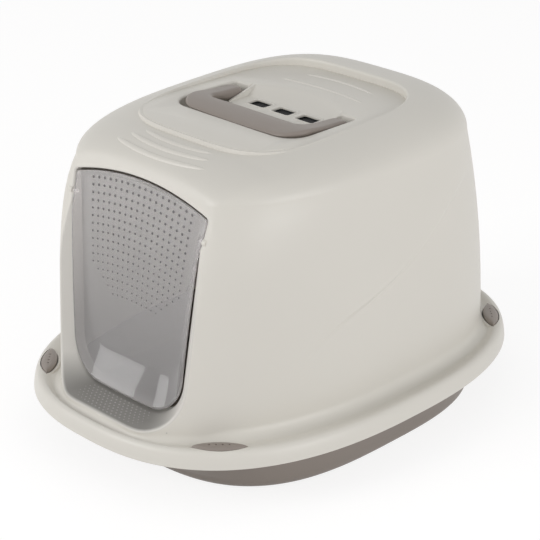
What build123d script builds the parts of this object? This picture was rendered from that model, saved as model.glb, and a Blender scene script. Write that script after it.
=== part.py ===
from build123d import *
from math import atan2, cos, pi, radians, sin, sqrt, tan
import os

# A hooded cat litter box, in millimetres. The origin is on the floor under the middle of the rim, +Z is up,
# and the mouth faces -Y.

# Rim, the widest part: an oval whose outline is a superellipse
rim_length = 580.0
rim_width = 435.0
rim_power = 2.5
skirt_bottom = 50.5
lip_top = 70.5
trough_floor = 65.5
rim_plate = 2.5
rim_underside = trough_floor - rim_plate
part_gap = 0.3
# How far a cutter runs past the face that it cuts, and how deep an added piece bites into its neighbour
overrun = 10.0
bite = 1.0
# Inset from the rim's outline and height, for the rim's outside, its hollow and the trough's outer slope
rim_profile = [(0.0, skirt_bottom), (0.8, 58.0), (3.0, 65.0), (6.0, 69.0), (9.0, lip_top)]
rim_hollow = [(2.3, skirt_bottom - overrun), (2.5, skirt_bottom), (3.3, 58.0), (5.5, rim_underside)]
trough_outline = [(16.0, trough_floor), (10.5, lip_top), (7.2, lip_top + 3.0)]

# Hood wall, set by its outline at the trough and at the shoulder
hood_wall = 2.8
base_height = 72.0
side_ledge, front_ledge, back_ledge = 40.0, 12.0, 30.0
base_half_width = rim_width / 2 - side_ledge
base_front = rim_length / 2 - front_ledge
base_back = rim_length / 2 - back_ledge
base_power_front = 2.17
base_power_back = 2.5
shoulder_height = 318.0
side_draft, front_draft, back_draft = 10.0, 52.0, 53.0
shoulder_half_width = base_half_width - side_draft
shoulder_front = base_front - front_draft
shoulder_back = base_back - back_draft
shoulder_power_front = 2.7
shoulder_power_back = 3.28
side_belly = 1.7
end_belly = 8.0
# How much squarer the front corners are just below the shoulder, where the cheeks of the mouth stand out
cheek_power = 4.0
shoulder_reach = 71.0
shoulder_rise = 41.5
roof_slope = 0.035

# Flat front face of the hood: raked up to the brow, then rounded over onto the roof
sill_lip_front = base_front - 10.0
brow_front = shoulder_front - 27.5
brow_height = shoulder_height + 2.0
brow_round_rise = 36.0
brow_round_reach = 64.0

# Roof panel, handle well, vent shelf and pockets for the handle's arms
panel_height = shoulder_height + 36.2
panel_half_width = 116.0
panel_half_length = 133.5
panel_power = 3.8
shelf_height = panel_height - 10.8
shelf_front = -8.0
shelf_back = 28.0
shelf_half_width = 67.0
shelf_slope_back = 50.0
gusset_apex = 35.5
well_floor = panel_height - 22.2
well_clearance = 2.5
pocket_back_clearance = 4.0
pocket_front = -28.0
well_corner = 24.0
pocket_floor = panel_height - 19.2
vent_width = 21.0
vent_length = 14.5
vent_pitch = 37.0
vent_count = 3
vent_y = 13.0
vent_corner = 2.0

# Carry handle: a broad bail sunk in the well
handle_half_width = 91.0
handle_front = 70.0
handle_band = 35.0
handle_arm = 20.0
handle_corner = 26.0
handle_thickness = 7.5
handle_edge_height = panel_height - 2.2
handle_nose = 4.5
handle_crown_y = -42.0
handle_crown_height = panel_height + 4.3
handle_pivot_y = 12.0
handle_pivot_height = panel_height - 7.2
handle_pin_radius = 2.5
knuckle_radius = 7.5
# Directions in which the handle's top and its underside leave the nose and reach the knuckle, from the side
handle_top_slopes = [(1, 0.9), (1, -0.45)]
handle_under_slopes = [(1, 0.6), (1, -0.5)]

# Door flap: seen from the front it is a shield, from the side it leans back near the top
door_top_half_width = 102.0
door_corner_height = brow_height - 16.5
door_top_height = brow_height - 1.5
door_low_half_width = 84.0
door_low_height = 106.0
door_bottom_height = 82.0
door_bottom_corner = 26.0
door_plate = 2.2
door_side_border, door_top_border, door_bottom_border = 12.0, 6.0, 26.0
door_depth = 8.0
door_pivot_y = -brow_front - 8.5
door_pivot_height = brow_height - 36.5
door_pin_radius = 2.2
door_pin_length = 4.0
door_pin_root = 8.0
boss_wall = 1.5
boss_length = 5.0
door_gap = 1.6
# The middle of the flap's thickness seen from the side: how far it is in front of the brow, at five heights
door_forward = [0.5, 7.5, 14.4, 19.8, 27.0]
door_heights = [brow_height - drop for drop in (0.0, 36.0, 87.0, 137.0)] + [door_bottom_height - 2.0]
door_profile = [(-brow_front - forward, height) for forward, height in zip(door_forward, door_heights)]

# Funnel of the mouth: straight round the flap, then flared out to the lip
funnel_length = 45.0
funnel_side_flare = 54.0
funnel_drop = 6.0
jamb_depth = 14.0

# Tray
tray_wall = 2.5
tray_flange_inset = 15.0
tray_flange_width = 12.0
tray_flange_top = rim_underside - part_gap
tray_bead_height = 10.0
tray_side_draft, tray_end_draft = 32.5, 70.0
tray_bottom_half_width = rim_width / 2 - tray_side_draft
tray_bottom_half_length = rim_length / 2 - tray_end_draft
tray_bottom_power = 3.0
tray_bottom_round = 10.0

# Rim clips: lens-shaped heads that rock about their long axis. Each stands near the point where the rim's
# outline runs at 45 degrees, drawn in from that line and moved a little along it towards the side.
clip_inset = 16.5
clip_shift = 4.6
clip_length = 58.0
clip_width = 16.0
clip_top = 72.5
clip_edge = 69.5
clip_bottom = 68.0
clip_axis_height = 68.6
clip_pin_radius = 1.2
clip_pin_length = 3.5
clip_leg_width = 20.0
clip_leg_thickness = 3.0
clip_leg_outward = 5.0
clip_leg_bottom = 50.0
clip_hook_height = 3.0
clip_clearance = 0.6
clip_hook_reach = 1.4
clip_slot_swing = 2.5
clip_blunt_end = 2.0
clip_crown_length = 42.0
clip_crown_width = 9.6
clip_boss_width = 8.0
clip_boss_length = 5.0
clip_boss_corner = 1.5
clip_boss_cover = 1.0
clip_floor_lift = 0.5

# Filter pad and its holder
filter_length = 120.0
filter_width = 40.0
filter_thickness = 6.0
filter_corner = 3.0
holder_wall = 1.8
holder_gap = 0.4
holder_slot_length = 32.0
holder_slot_width = 6.0
holder_slot_pitch = 12.0
holder_slot_count = 9
rail_ledge = 5.0
rail_thickness = 2.0

running_clearance = 0.05

outline_points = 48
wall_steps = 10
shoulder_steps = [15, 30, 45, 60, 75, 90]


def between(low, high, share):
    """A value part of the way from low to high."""
    return low + (high - low) * share


def oval(plane, half_width, front, back, power_front, power_back):
    """A closed superellipse as one smooth edge, with its own reach and squareness at the front and back."""
    points = []
    for step in range(outline_points):
        turn = 2 * pi * step / outline_points
        c, s = cos(turn), sin(turn)
        power, reach = (power_front, front) if s < 0 else (power_back, back)
        size = (abs(c) ** power + abs(s) ** power) ** (-1 / power)
        points.append((half_width * c * size, reach * s * size))
    with BuildSketch(plane) as outline:
        with BuildLine():
            Spline(points, periodic=True)
        make_face()
    return outline.sketch


def level_oval(height, half_width, half_length, power):
    """A superellipse that is the same at the front and the back, on a level plane."""
    return oval(Plane.XY.offset(height), half_width, half_length, half_length, power, power)


def rim_oval(height, inset):
    """The rim's outline at a height, drawn in by inset."""
    return level_oval(height, rim_width / 2 - inset, rim_length / 2 - inset, rim_power)


def hood_sections(inset, lowest):
    """Outlines of the hood's wall and shoulder, each drawn in by inset, for a loft from lowest up."""
    sections = []
    for step in range(wall_steps + 1):
        height = between(lowest, shoulder_height, step / wall_steps)
        share = (height - base_height) / (shoulder_height - base_height)
        belly = 4 * share * (1 - share)
        cheek = cheek_power * max(share, 0) ** 4 * (1 - share)
        sections.append(
            oval(
                Plane.XY.offset(height),
                between(base_half_width, shoulder_half_width, share) + side_belly * belly - inset,
                between(base_front, shoulder_front, share) + end_belly * belly - inset,
                between(base_back, shoulder_back, share) + end_belly * belly - inset,
                between(base_power_front, shoulder_power_front, share) + cheek,
                between(base_power_back, shoulder_power_back, share),
            )
        )
    for angle in shoulder_steps:
        drawn_in = (shoulder_reach - inset) * (1 - cos(radians(angle))) + inset
        rise = sin(radians(angle))
        tilted = Plane(
            origin=(0, 0, shoulder_height + (shoulder_rise - inset) * rise),
            x_dir=(1, 0, 0),
            z_dir=(0, -roof_slope * rise, 1),
        )
        sections.append(
            oval(
                tilted,
                shoulder_half_width - drawn_in,
                shoulder_front - drawn_in,
                shoulder_back - drawn_in,
                shoulder_power_front,
                shoulder_power_back,
            )
        )
    return sections


def hood_form(inset, lowest):
    """The solid that the hood's skin encloses, drawn in by inset, with its flat raked front."""
    rake = (sill_lip_front - brow_front) / (brow_height - base_height)
    with BuildPart() as form:
        loft(sections=hood_sections(inset, lowest))
        with BuildSketch(Plane.YZ.offset(-rim_width / 2)):
            with BuildLine():
                low = (-sill_lip_front - rake * base_height + inset, 0.0)
                brow = (-brow_front + inset, brow_height - inset / 2)
                crest = (-brow_front + brow_round_reach, brow_height + brow_round_rise - inset)
                Line(low, brow)
                Spline(brow, crest, tangents=[(rake, 1), (1, roof_slope)])
                Polyline(crest, (rim_length, brow_height + rim_length / 2), (rim_length, 0.0), low)
            make_face()
        extrude(amount=rim_width, mode=Mode.INTERSECT)
    return form.part


def door_plane(forward):
    """The flap's own leaning plane at rest, moved forward; its Y runs up the flap and its Z points out."""
    (top_y, top_z), (low_y, low_z) = door_profile[1], door_profile[-1]
    lean = atan2(top_y - low_y, top_z - low_z)
    foot_y = low_y - low_z * tan(lean)
    return Plane(origin=(0, foot_y - forward, 0), x_dir=(1, 0, 0), z_dir=(0, -cos(lean), sin(lean)))


def shield(plane, side_grow, top_grow, bottom_grow, corner):
    """The flap's outline or the mouth's: an arched top, leaning sides and a round-cornered bottom."""
    stretch = 1 / abs(plane.y_dir.Z)
    lean = (door_top_half_width - door_low_half_width) / (door_corner_height - door_low_height)
    foot = door_low_half_width - lean * (door_low_height - door_bottom_height) + side_grow
    top = door_top_half_width + side_grow
    shoulder = (door_corner_height + top_grow) * stretch
    crest = (door_top_height + top_grow) * stretch
    bottom = (door_bottom_height - bottom_grow) * stretch
    with BuildSketch(plane) as outline:
        with BuildLine():
            ThreePointArc((-top, shoulder), (0, crest), (top, shoulder))
            Polyline((top, shoulder), (foot, bottom), (-foot, bottom), (-top, shoulder))
        make_face()
        fillet(outline.vertices().group_by(Axis.Y)[0], corner)
    return outline.sketch


def mouth_cutter(wall):
    """The mouth's straight opening and its funnel, grown by wall to make the jamb around it."""
    side_gap, end_gap = door_gap + wall, 2 * door_gap + wall
    throat_plane, lip_plane = door_plane(door_depth / 2), door_plane(door_depth / 2 + funnel_length)
    corner = door_bottom_corner + side_gap
    throat = shield(throat_plane, side_gap, end_gap, end_gap, corner)
    lip = shield(
        lip_plane,
        side_gap + funnel_side_flare,
        end_gap,
        end_gap + funnel_drop,
        corner + funnel_side_flare / 2,
    )
    with BuildPart() as cutter:
        loft(sections=[throat, lip], ruled=True)
        extrude(throat, amount=-jamb_depth)
    return cutter.part


# Tray: a dished base with a rolled rim that the hood sits on
flange_half_width = rim_width / 2 - tray_flange_inset
flange_half_length = rim_length / 2 - tray_flange_inset


def tray_sections(inset, floor, top):
    """Outlines of the tray's wall from its floor up to top, drawn in by inset."""
    rounding = tray_bottom_round * (1 - cos(pi / 4))
    wall_half_width = flange_half_width - tray_flange_width
    wall_half_length = flange_half_length - tray_flange_width
    low_half_width = tray_bottom_half_width - inset
    low_half_length = tray_bottom_half_length - inset
    foot = [(0.0, -tray_bottom_round, -tray_bottom_round), (rounding, -rounding, -rounding),
            (tray_bottom_round, 0.0, rounding)]
    sections = [
        level_oval(floor + rise, low_half_width + wider, low_half_length + longer, tray_bottom_power)
        for rise, wider, longer in foot
    ]
    return sections + [level_oval(top, wall_half_width - inset, wall_half_length - inset, rim_power)]


def flange_oval(height, inset):
    """The outline of the tray's rolled rim, drawn in by inset."""
    return level_oval(height, flange_half_width - inset, flange_half_length - inset, rim_power)


with BuildPart() as tray:
    flange_bottom = tray_flange_top - tray_wall
    loft(sections=tray_sections(0.0, 0.0, flange_bottom + tray_wall / 2))
    extrude(flange_oval(flange_bottom, 0.0), amount=tray_wall)
    bead_bottom = tray_flange_top - tray_bead_height
    bead = flange_oval(bead_bottom, 0.0) - flange_oval(bead_bottom, tray_wall)
    extrude(bead, amount=tray_bead_height - bite)
    loft(sections=tray_sections(tray_wall, tray_wall, tray_flange_top + tray_wall), mode=Mode.SUBTRACT)
tray.part.label = "tray"


# Hood
body_outer = hood_form(0.0, rim_underside - rim_plate)
body_middle = hood_form(hood_wall / 2, rim_underside - rim_plate)
body_inner = hood_form(hood_wall, skirt_bottom - overrun)

normal_power = rim_power / (rim_power - 1)
across, lengthwise = (rim_width / 2) ** normal_power, (rim_length / 2) ** normal_power
outline_scale = (across + lengthwise) ** (1 / rim_power)
clip_x = across / outline_scale - (clip_inset - clip_shift) / sqrt(2)
clip_y = lengthwise / outline_scale - (clip_inset + clip_shift) / sqrt(2)

clip_places = {
    "latch_front_left": (-clip_x, -clip_y),
    "latch_front_right": (clip_x, -clip_y),
    "latch_rear_left": (-clip_x, clip_y),
    "latch_rear_right": (clip_x, clip_y),
}


def clip_plane(x, y, height):
    """A level plane at a clip, its +X pointing straight out from the rim and its +Y along the clip."""
    out_x, out_y = (1 if x > 0 else -1) / sqrt(2), (1 if y > 0 else -1) / sqrt(2)
    return Plane(origin=(x, y, height), x_dir=(out_x, out_y, 0), z_dir=(0, 0, 1))


def clip_axis_plane(x, y, end):
    """A plane square to a clip's pins, at one end of the pins' holes; its +Z runs along the clip."""
    reach = clip_length / 2 + clip_pin_length + clip_clearance
    along = clip_plane(x, y, clip_axis_height).y_dir
    return Plane(origin=Vector(x, y, clip_axis_height) + along * end * reach, z_dir=along)


def lens(plane, length, width):
    """A pointed oval along the plane's Y, with its points cut off square."""
    blunt = clip_blunt_end
    with BuildSketch(plane) as outline:
        with BuildLine():
            ThreePointArc((blunt / 2, -length / 2), (width / 2, 0), (blunt / 2, length / 2))
            Line((blunt / 2, length / 2), (-blunt / 2, length / 2))
            ThreePointArc((-blunt / 2, length / 2), (-width / 2, 0), (-blunt / 2, -length / 2))
            Line((-blunt / 2, -length / 2), (blunt / 2, -length / 2))
        make_face()
    return outline.sketch


def block(x, y, z):
    """A box from its low and high corners, given as three pairs."""
    with BuildPart() as solid:
        with Locations((sum(x) / 2, sum(y) / 2, sum(z) / 2)):
            Box(x[1] - x[0], y[1] - y[0], z[1] - z[0])
    return solid.part


def well_outline(height, grow):
    """The handle well seen from above, with round front corners, grown by grow."""
    half = handle_half_width + well_clearance + grow
    front = -handle_front - well_clearance - grow
    back = shelf_front + grow
    with BuildSketch(Plane.XY.offset(height)) as outline:
        with Locations((0, (front + back) / 2)):
            Rectangle(2 * half, back - front)
        fillet(outline.vertices().group_by(Axis.Y)[0], well_corner + grow)
    return outline.sketch


def pocket_box(side, grow, floor, top):
    """The deep slot that one arm of the handle swings in."""
    inner = shelf_half_width + hood_wall - grow
    outer = handle_half_width + well_clearance + grow
    back = handle_pivot_y + knuckle_radius + pocket_back_clearance + grow
    x = (inner, outer) if side > 0 else (-outer, -inner)
    return block(x, (pocket_front, back), (floor, top))


roof_top = shoulder_height + shoulder_rise + 2 * overrun
pocket_length = clip_length + 2 * clip_clearance

with BuildPart() as hood:
    # The rim with its trough, then the body that stands in the trough and the space inside it
    loft(sections=[rim_oval(height, inset) for inset, height in rim_profile])
    loft(sections=[rim_oval(height, inset) for inset, height in trough_outline], mode=Mode.SUBTRACT)
    add(body_outer)
    with BuildPart(mode=Mode.PRIVATE) as cavity:
        add(body_inner)
        add(mouth_cutter(hood_wall), mode=Mode.SUBTRACT)
    add(cavity.part, mode=Mode.SUBTRACT)
    loft(sections=[rim_oval(height, inset) for inset, height in rim_hollow], mode=Mode.SUBTRACT)

    # Tubs that hang under the roof panel, the handle well, the vent shelf and the arm pockets
    tub_half_width, tub_half_length = panel_half_width + hood_wall, panel_half_length + hood_wall
    with BuildPart(mode=Mode.PRIVATE) as tubs:
        extrude(
            level_oval(panel_height - hood_wall, tub_half_width, tub_half_length, panel_power),
            amount=roof_top - panel_height,
        )
        extrude(well_outline(well_floor - hood_wall, hood_wall), amount=roof_top - well_floor)
        shelf_wall = shelf_half_width + hood_wall
        add(block((-shelf_wall, shelf_wall), (shelf_front, shelf_slope_back + hood_wall),
                  (shelf_height - hood_wall, roof_top)))
        for side in (1, -1):
            add(pocket_box(side, hood_wall, pocket_floor - hood_wall, roof_top))
        add(body_middle, mode=Mode.INTERSECT)
    add(tubs.part)

    # Recesses in those tubs, cut from above
    extrude(
        level_oval(panel_height, panel_half_width, panel_half_length, panel_power),
        amount=roof_top - panel_height,
        mode=Mode.SUBTRACT,
    )
    extrude(well_outline(well_floor, 0.0), amount=roof_top - well_floor, mode=Mode.SUBTRACT)
    with BuildSketch(Plane.YZ):
        Polygon(
            (shelf_front - bite, shelf_height),
            (shelf_back, shelf_height),
            (shelf_slope_back, panel_height),
            (shelf_slope_back, roof_top),
            (shelf_front - bite, roof_top),
            align=None,
        )
    extrude(amount=shelf_half_width, both=True, mode=Mode.SUBTRACT)
    for side in (1, -1):
        add(pocket_box(side, 0.0, pocket_floor, roof_top), mode=Mode.SUBTRACT)

    # The wall between shelf and pocket is a gusset that slopes down towards the front
    with BuildSketch(Plane.YZ):
        Polygon(
            (shelf_front - bite, shelf_height),
            (gusset_apex, panel_height),
            (gusset_apex, roof_top),
            (shelf_front - bite, roof_top),
            align=None,
        )
    extrude(amount=shelf_half_width + hood_wall + bite, both=True, mode=Mode.SUBTRACT)

    # Vents
    with BuildSketch(Plane.XY.offset(shelf_height)):
        with Locations((0, vent_y)):
            with GridLocations(vent_pitch, 1, vent_count, 1):
                RectangleRounded(vent_width, vent_length, vent_corner)
    extrude(amount=-hood_wall, mode=Mode.SUBTRACT)

    # Holes for the handle's pins, bored through the outer walls of the pockets
    for side in (1, -1):
        with BuildSketch(Plane.YZ.offset(side * handle_half_width)):
            with Locations((handle_pivot_y, handle_pivot_height)):
                Circle(handle_pin_radius + running_clearance)
        extrude(amount=side * (well_clearance + hood_wall), mode=Mode.SUBTRACT)

    # Rails that carry the filter holder
    holder_top = shelf_height - hood_wall - holder_gap
    holder_bottom = holder_top - filter_thickness - holder_wall - holder_gap
    rail_inner = filter_length / 2 + holder_wall + 2 * holder_gap
    for side in (1, -1):
        x = sorted((side * rail_inner, side * (shelf_half_width + hood_wall)))
        add(block(x, (shelf_front + hood_wall, gusset_apex), (holder_bottom - rail_thickness - holder_gap,
                                                               shelf_height - hood_wall)))
        x = sorted((side * (rail_inner - rail_ledge), side * (shelf_half_width + hood_wall)))
        add(block(x, (shelf_front + hood_wall, gusset_apex), (holder_bottom - rail_thickness - holder_gap,
                                                               holder_bottom - holder_gap)))

    # Mouth: bosses for the flap's pins, then the funnel and the pin holes
    with BuildSketch(Plane.YZ.offset(-door_top_half_width - boss_length)):
        with Locations((door_pivot_y, door_pivot_height)):
            Circle(door_pin_radius + boss_wall)
    extrude(amount=2 * (door_top_half_width + boss_length))
    add(mouth_cutter(0.0), mode=Mode.SUBTRACT)
    with BuildSketch(Plane.YZ.offset(-door_top_half_width - door_pin_length)):
        with Locations((door_pivot_y, door_pivot_height)):
            Circle(door_pin_radius + running_clearance)
    extrude(amount=2 * (door_top_half_width + door_pin_length), mode=Mode.SUBTRACT)

    # Seats of the four clips: end bosses, the lens-shaped pocket, the slot for the leg and the pin holes
    with BuildPart(mode=Mode.PRIVATE) as clip_bosses:
        for x, y in clip_places.values():
            with BuildSketch(clip_plane(x, y, trough_floor - bite)):
                for end in (1, -1):
                    with Locations((0, end * (pocket_length / 2 + clip_boss_length / 2))):
                        RectangleRounded(clip_boss_width, clip_boss_length, clip_boss_corner)
            extrude(amount=clip_axis_height + clip_pin_radius + clip_boss_cover - trough_floor + bite)
    add(clip_bosses.part)
    with BuildPart(mode=Mode.PRIVATE) as clip_spaces:
        for x, y in clip_places.values():
            pocket_plane = clip_plane(x, y, trough_floor + clip_floor_lift)
            extrude(lens(pocket_plane, pocket_length, clip_width + 2 * clip_clearance), amount=overrun)
            with BuildSketch(clip_plane(x, y, rim_underside - rim_plate)):
                slot_inner = clip_leg_outward - clip_leg_thickness / 2 - clip_hook_reach - clip_clearance
                slot_outer = clip_leg_outward + clip_leg_thickness / 2 + clip_slot_swing
                with Locations(((slot_inner + slot_outer) / 2, 0)):
                    Rectangle(slot_outer - slot_inner, clip_leg_width + 2 * clip_clearance)
            extrude(amount=clip_top - rim_underside)
            with BuildSketch(clip_axis_plane(x, y, -1)):
                Circle(clip_pin_radius + running_clearance)
            extrude(amount=2 * (clip_length / 2 + clip_pin_length + clip_clearance))
    add(clip_spaces.part, mode=Mode.SUBTRACT)
hood.part.label = "hood"


# Door flap: a clear dish with a border that slopes forward to its rim, and two pins
def door_slab(thickness, behind):
    """A slab that follows the flap's side profile, thickness deep, starting behind the flap's middle."""
    with BuildPart() as slab:
        with BuildSketch(Plane.YZ):
            with BuildLine():
                back = [(y + behind, z) for y, z in door_profile]
                front = [(y - thickness, z) for y, z in reversed(back)]
                Spline(back)
                Line(back[-1], front[0])
                Spline(front)
                Line(front[-1], back[0])
            make_face()
        extrude(amount=door_top_half_width + bite, both=True)
    return slab.part


def border_cone(rim_inset):
    """A solid that narrows from the flap's rim, in front, to the foot of its sloped border, behind."""
    rim_plane, foot_plane = door_plane(door_depth / 2), door_plane(-door_depth / 2)
    run_out = 1 + overrun / door_depth
    sections = []
    for plane, share in ((door_plane(door_depth / 2 + overrun), 0.0), (rim_plane, 0.0), (foot_plane, 1.0),
                         (door_plane(-door_depth / 2 - overrun), run_out)):
        side = rim_inset + share * (door_side_border - door_plate)
        top = rim_inset + share * (door_top_border - door_plate)
        bottom = rim_inset + share * (door_bottom_border - door_plate)
        sections.append(shield(plane, -side, -top, -bottom, door_bottom_corner - side / 2))
    with BuildPart() as cone:
        for near, far in zip(sections, sections[1:]):
            loft(sections=[near, far], ruled=True)
    return cone.part


with BuildPart() as door_flap:
    add(door_slab(door_depth, door_depth / 2))
    add(border_cone(0.0), mode=Mode.INTERSECT)
    with BuildPart(mode=Mode.PRIVATE) as recess:
        add(door_slab(door_depth, door_depth / 2 - door_plate))
        add(border_cone(door_plate), mode=Mode.INTERSECT)
    add(recess.part, mode=Mode.SUBTRACT)
    for side in (1, -1):
        with BuildSketch(Plane.YZ.offset(side * (door_top_half_width - door_pin_root))):
            with Locations((door_pivot_y, door_pivot_height)):
                Circle(door_pin_radius)
        extrude(amount=side * (door_pin_root + door_pin_length - part_gap))
door_flap.part.label = "door_flap"


# Carry handle
with BuildPart() as carry_handle:
    with BuildSketch(Plane.XY.offset(pocket_floor)) as plan:
        back = handle_pivot_y + knuckle_radius
        with Locations((0, (back - handle_front) / 2)):
            Rectangle(2 * handle_half_width, back + handle_front)
        fillet(plan.vertices().group_by(Axis.Y)[0], handle_corner)
        inner_front = -handle_front + handle_band
        with BuildSketch(mode=Mode.SUBTRACT) as finger_space:
            with Locations((0, (back + overrun + inner_front) / 2)):
                Rectangle(2 * (handle_half_width - handle_arm), back + overrun - inner_front)
            fillet(finger_space.vertices().group_by(Axis.Y)[0], handle_corner - handle_arm / 2)
    extrude(amount=roof_top - pocket_floor)
    with BuildSketch(Plane.YZ.offset(-handle_half_width)):
        with BuildLine():
            top = Spline(
                (-handle_front, handle_edge_height),
                (handle_crown_y, handle_crown_height),
                (handle_pivot_y, handle_pivot_height + knuckle_radius),
                tangents=handle_top_slopes,
            )
            nose = Line(top @ 0, (-handle_front, handle_edge_height - handle_nose))
            lower = Spline(
                nose @ 1,
                (handle_crown_y, handle_crown_height - handle_thickness),
                (handle_pivot_y, handle_pivot_height - knuckle_radius),
                tangents=handle_under_slopes,
            )
            ThreePointArc(lower @ 1, (handle_pivot_y + knuckle_radius, handle_pivot_height), top @ 1)
        make_face()
    extrude(amount=2 * handle_half_width, mode=Mode.INTERSECT)
    for side in (1, -1):
        with BuildSketch(Plane.YZ.offset(side * (handle_half_width - handle_arm / 2))):
            with Locations((handle_pivot_y, handle_pivot_height)):
                Circle(handle_pin_radius)
        extrude(amount=side * (handle_arm / 2 + well_clearance + hood_wall))
carry_handle.part.label = "carry_handle"


# Rim clips
def rim_clip(name, x, y):
    """A lens-shaped head on two end pins, with a leg that goes down through the rim and ends in a hook."""
    with BuildPart() as clip:
        extrude(lens(clip_plane(x, y, clip_bottom), clip_length, clip_width), amount=clip_edge - clip_bottom)
        loft(
            sections=[
                lens(clip_plane(x, y, clip_edge), clip_length, clip_width),
                lens(clip_plane(x, y, clip_top), clip_crown_length, clip_crown_width),
            ]
        )
        with BuildSketch(clip_plane(x, y, clip_leg_bottom)):
            with Locations((clip_leg_outward, 0)):
                Rectangle(clip_leg_thickness, clip_leg_width)
        extrude(amount=clip_bottom - clip_leg_bottom)
        with BuildSketch(clip_plane(x, y, clip_leg_bottom)):
            with Locations((clip_leg_outward - clip_hook_reach / 2, 0)):
                Rectangle(clip_leg_thickness + clip_hook_reach, clip_leg_width)
        extrude(amount=clip_hook_height)
        pin_half_length = clip_length / 2 + clip_pin_length
        with BuildSketch(clip_axis_plane(x, y, 0)):
            Circle(clip_pin_radius)
        extrude(amount=pin_half_length, both=True)
    clip.part.label = name
    return clip.part


clips = [rim_clip(name, x, y) for name, (x, y) in clip_places.items()]


# Filter pad in its open-topped holder, which slides back off the rails
holder_half_length = filter_length / 2 + holder_gap + holder_wall
holder_half_width = filter_width / 2 + holder_gap + holder_wall
holder_middle = shelf_front + hood_wall + holder_gap + holder_half_width

with BuildPart() as filter_holder:
    add(block((-holder_half_length, holder_half_length),
              (holder_middle - holder_half_width, holder_middle + holder_half_width),
              (holder_bottom, holder_top)))
    inner_length = holder_half_length - holder_wall
    inner_width = holder_half_width - holder_wall
    add(block((-inner_length, inner_length), (holder_middle - inner_width, holder_middle + inner_width),
              (holder_bottom + holder_wall, holder_top)), mode=Mode.SUBTRACT)
    with BuildSketch(Plane.XY.offset(holder_bottom)):
        with Locations((0, holder_middle)):
            with GridLocations(holder_slot_pitch, 1, holder_slot_count, 1):
                SlotOverall(holder_slot_length, holder_slot_width, rotation=90)
    extrude(amount=holder_wall, mode=Mode.SUBTRACT)
filter_holder.part.label = "filter_holder"

with BuildPart() as carbon_filter:
    pad_bottom = holder_bottom + holder_wall
    add(block((-filter_length / 2, filter_length / 2),
              (holder_middle - filter_width / 2, holder_middle + filter_width / 2),
              (pad_bottom, pad_bottom + filter_thickness)))
    fillet(carbon_filter.edges().filter_by(Axis.Z), filter_corner)
carbon_filter.part.label = "carbon_filter"


os.makedirs("parts", exist_ok=True)
moulded = [tray.part, hood.part, door_flap.part, carry_handle.part, filter_holder.part, carbon_filter.part]
for piece in moulded + clips:
    export_step(piece, f"parts/{piece.label}.step")
    print(piece.label, len(piece.solids()), round(piece.volume))
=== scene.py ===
# %% [markdown]
# # A covered cat litter box
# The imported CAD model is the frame: it says where each part is and how it moves. This script gives the
# box its looks around it. Everything is in metres, with the floor at zero and the mouth facing -Y.

# %% Load the frame
import math

import bmesh
import bpy
import numpy as np
from mathutils import Matrix, Vector


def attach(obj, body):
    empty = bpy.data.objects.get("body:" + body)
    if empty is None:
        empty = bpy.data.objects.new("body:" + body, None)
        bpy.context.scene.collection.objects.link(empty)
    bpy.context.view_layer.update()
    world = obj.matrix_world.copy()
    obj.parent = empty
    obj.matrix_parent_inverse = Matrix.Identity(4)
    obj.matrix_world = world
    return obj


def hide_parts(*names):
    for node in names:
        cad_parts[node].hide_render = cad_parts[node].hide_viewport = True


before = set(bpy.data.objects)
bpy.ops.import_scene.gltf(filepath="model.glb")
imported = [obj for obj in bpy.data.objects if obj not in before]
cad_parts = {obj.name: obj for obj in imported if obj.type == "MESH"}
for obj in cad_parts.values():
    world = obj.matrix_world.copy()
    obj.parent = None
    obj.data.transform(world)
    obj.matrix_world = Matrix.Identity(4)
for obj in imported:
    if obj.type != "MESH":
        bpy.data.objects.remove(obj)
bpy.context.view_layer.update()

MM = 0.001
print("parts in the frame:", sorted(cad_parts))

# %% [markdown]
# ## How the pieces are made
# A moulded shell is a stack of outlines. By hand it is made by drawing the first outline as a circle of
# points, extruding it, and pulling the new edge to the next outline, again and again. The helper below
# does just that. It numbers the points of the circle, so that each keeps its place in every outline.

# %% A skin grown from outline to outline
def clear_selection():
    if bpy.context.object and bpy.context.object.mode != "OBJECT":
        bpy.ops.object.mode_set(mode="OBJECT")
    bpy.ops.object.select_all(action="DESELECT")


def pull_selected(piece, outline):
    """Move the selected ring of points onto an outline given in millimetres."""
    mesh = bmesh.from_edit_mesh(piece.data)
    place = mesh.verts.layers.int["place"]
    for point in mesh.verts:
        if point.select:
            point.co = [value * MM for value in outline[point[place]]]
    bmesh.update_edit_mesh(piece.data)


def grow_skin(name, outlines, ends="closed"):
    """Grow a skin over outlines. Its ends are closed with faces, or joined to each other."""
    clear_selection()
    bpy.ops.mesh.primitive_circle_add(vertices=len(outlines[0]), radius=0.1)
    piece = bpy.context.object
    piece.name = piece.data.name = name
    bpy.ops.object.mode_set(mode="EDIT")
    mesh = bmesh.from_edit_mesh(piece.data)
    place = mesh.verts.layers.int.new("place")
    for number, point in enumerate(mesh.verts):
        point[place] = number
    bpy.ops.mesh.select_all(action="SELECT")
    pull_selected(piece, outlines[0])
    if ends == "closed":
        bpy.ops.mesh.edge_face_add()
    for outline in outlines[1:] + (outlines[:1] if ends == "joined" else []):
        bpy.ops.mesh.extrude_region()
        pull_selected(piece, outline)
    bpy.ops.mesh.select_all(action="SELECT")
    bpy.ops.mesh.remove_doubles(threshold=0.00001)
    bpy.ops.mesh.normals_make_consistent(inside=False)
    bpy.ops.object.mode_set(mode="OBJECT")
    return piece


# %% [markdown]
# ## The form of the hood
# The hood is a draft-angled oval bell with a rounded shoulder, and its front is cut by one flat raked face
# that rolls over onto the roof. A sculptor would cut the bell with the plane and soften the edge between
# them. The functions below do that with numbers: each gives a depth under the surface, in millimetres, and
# the softened smaller of the two is the hood's own depth. Where it is zero, the skin lies.

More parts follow.
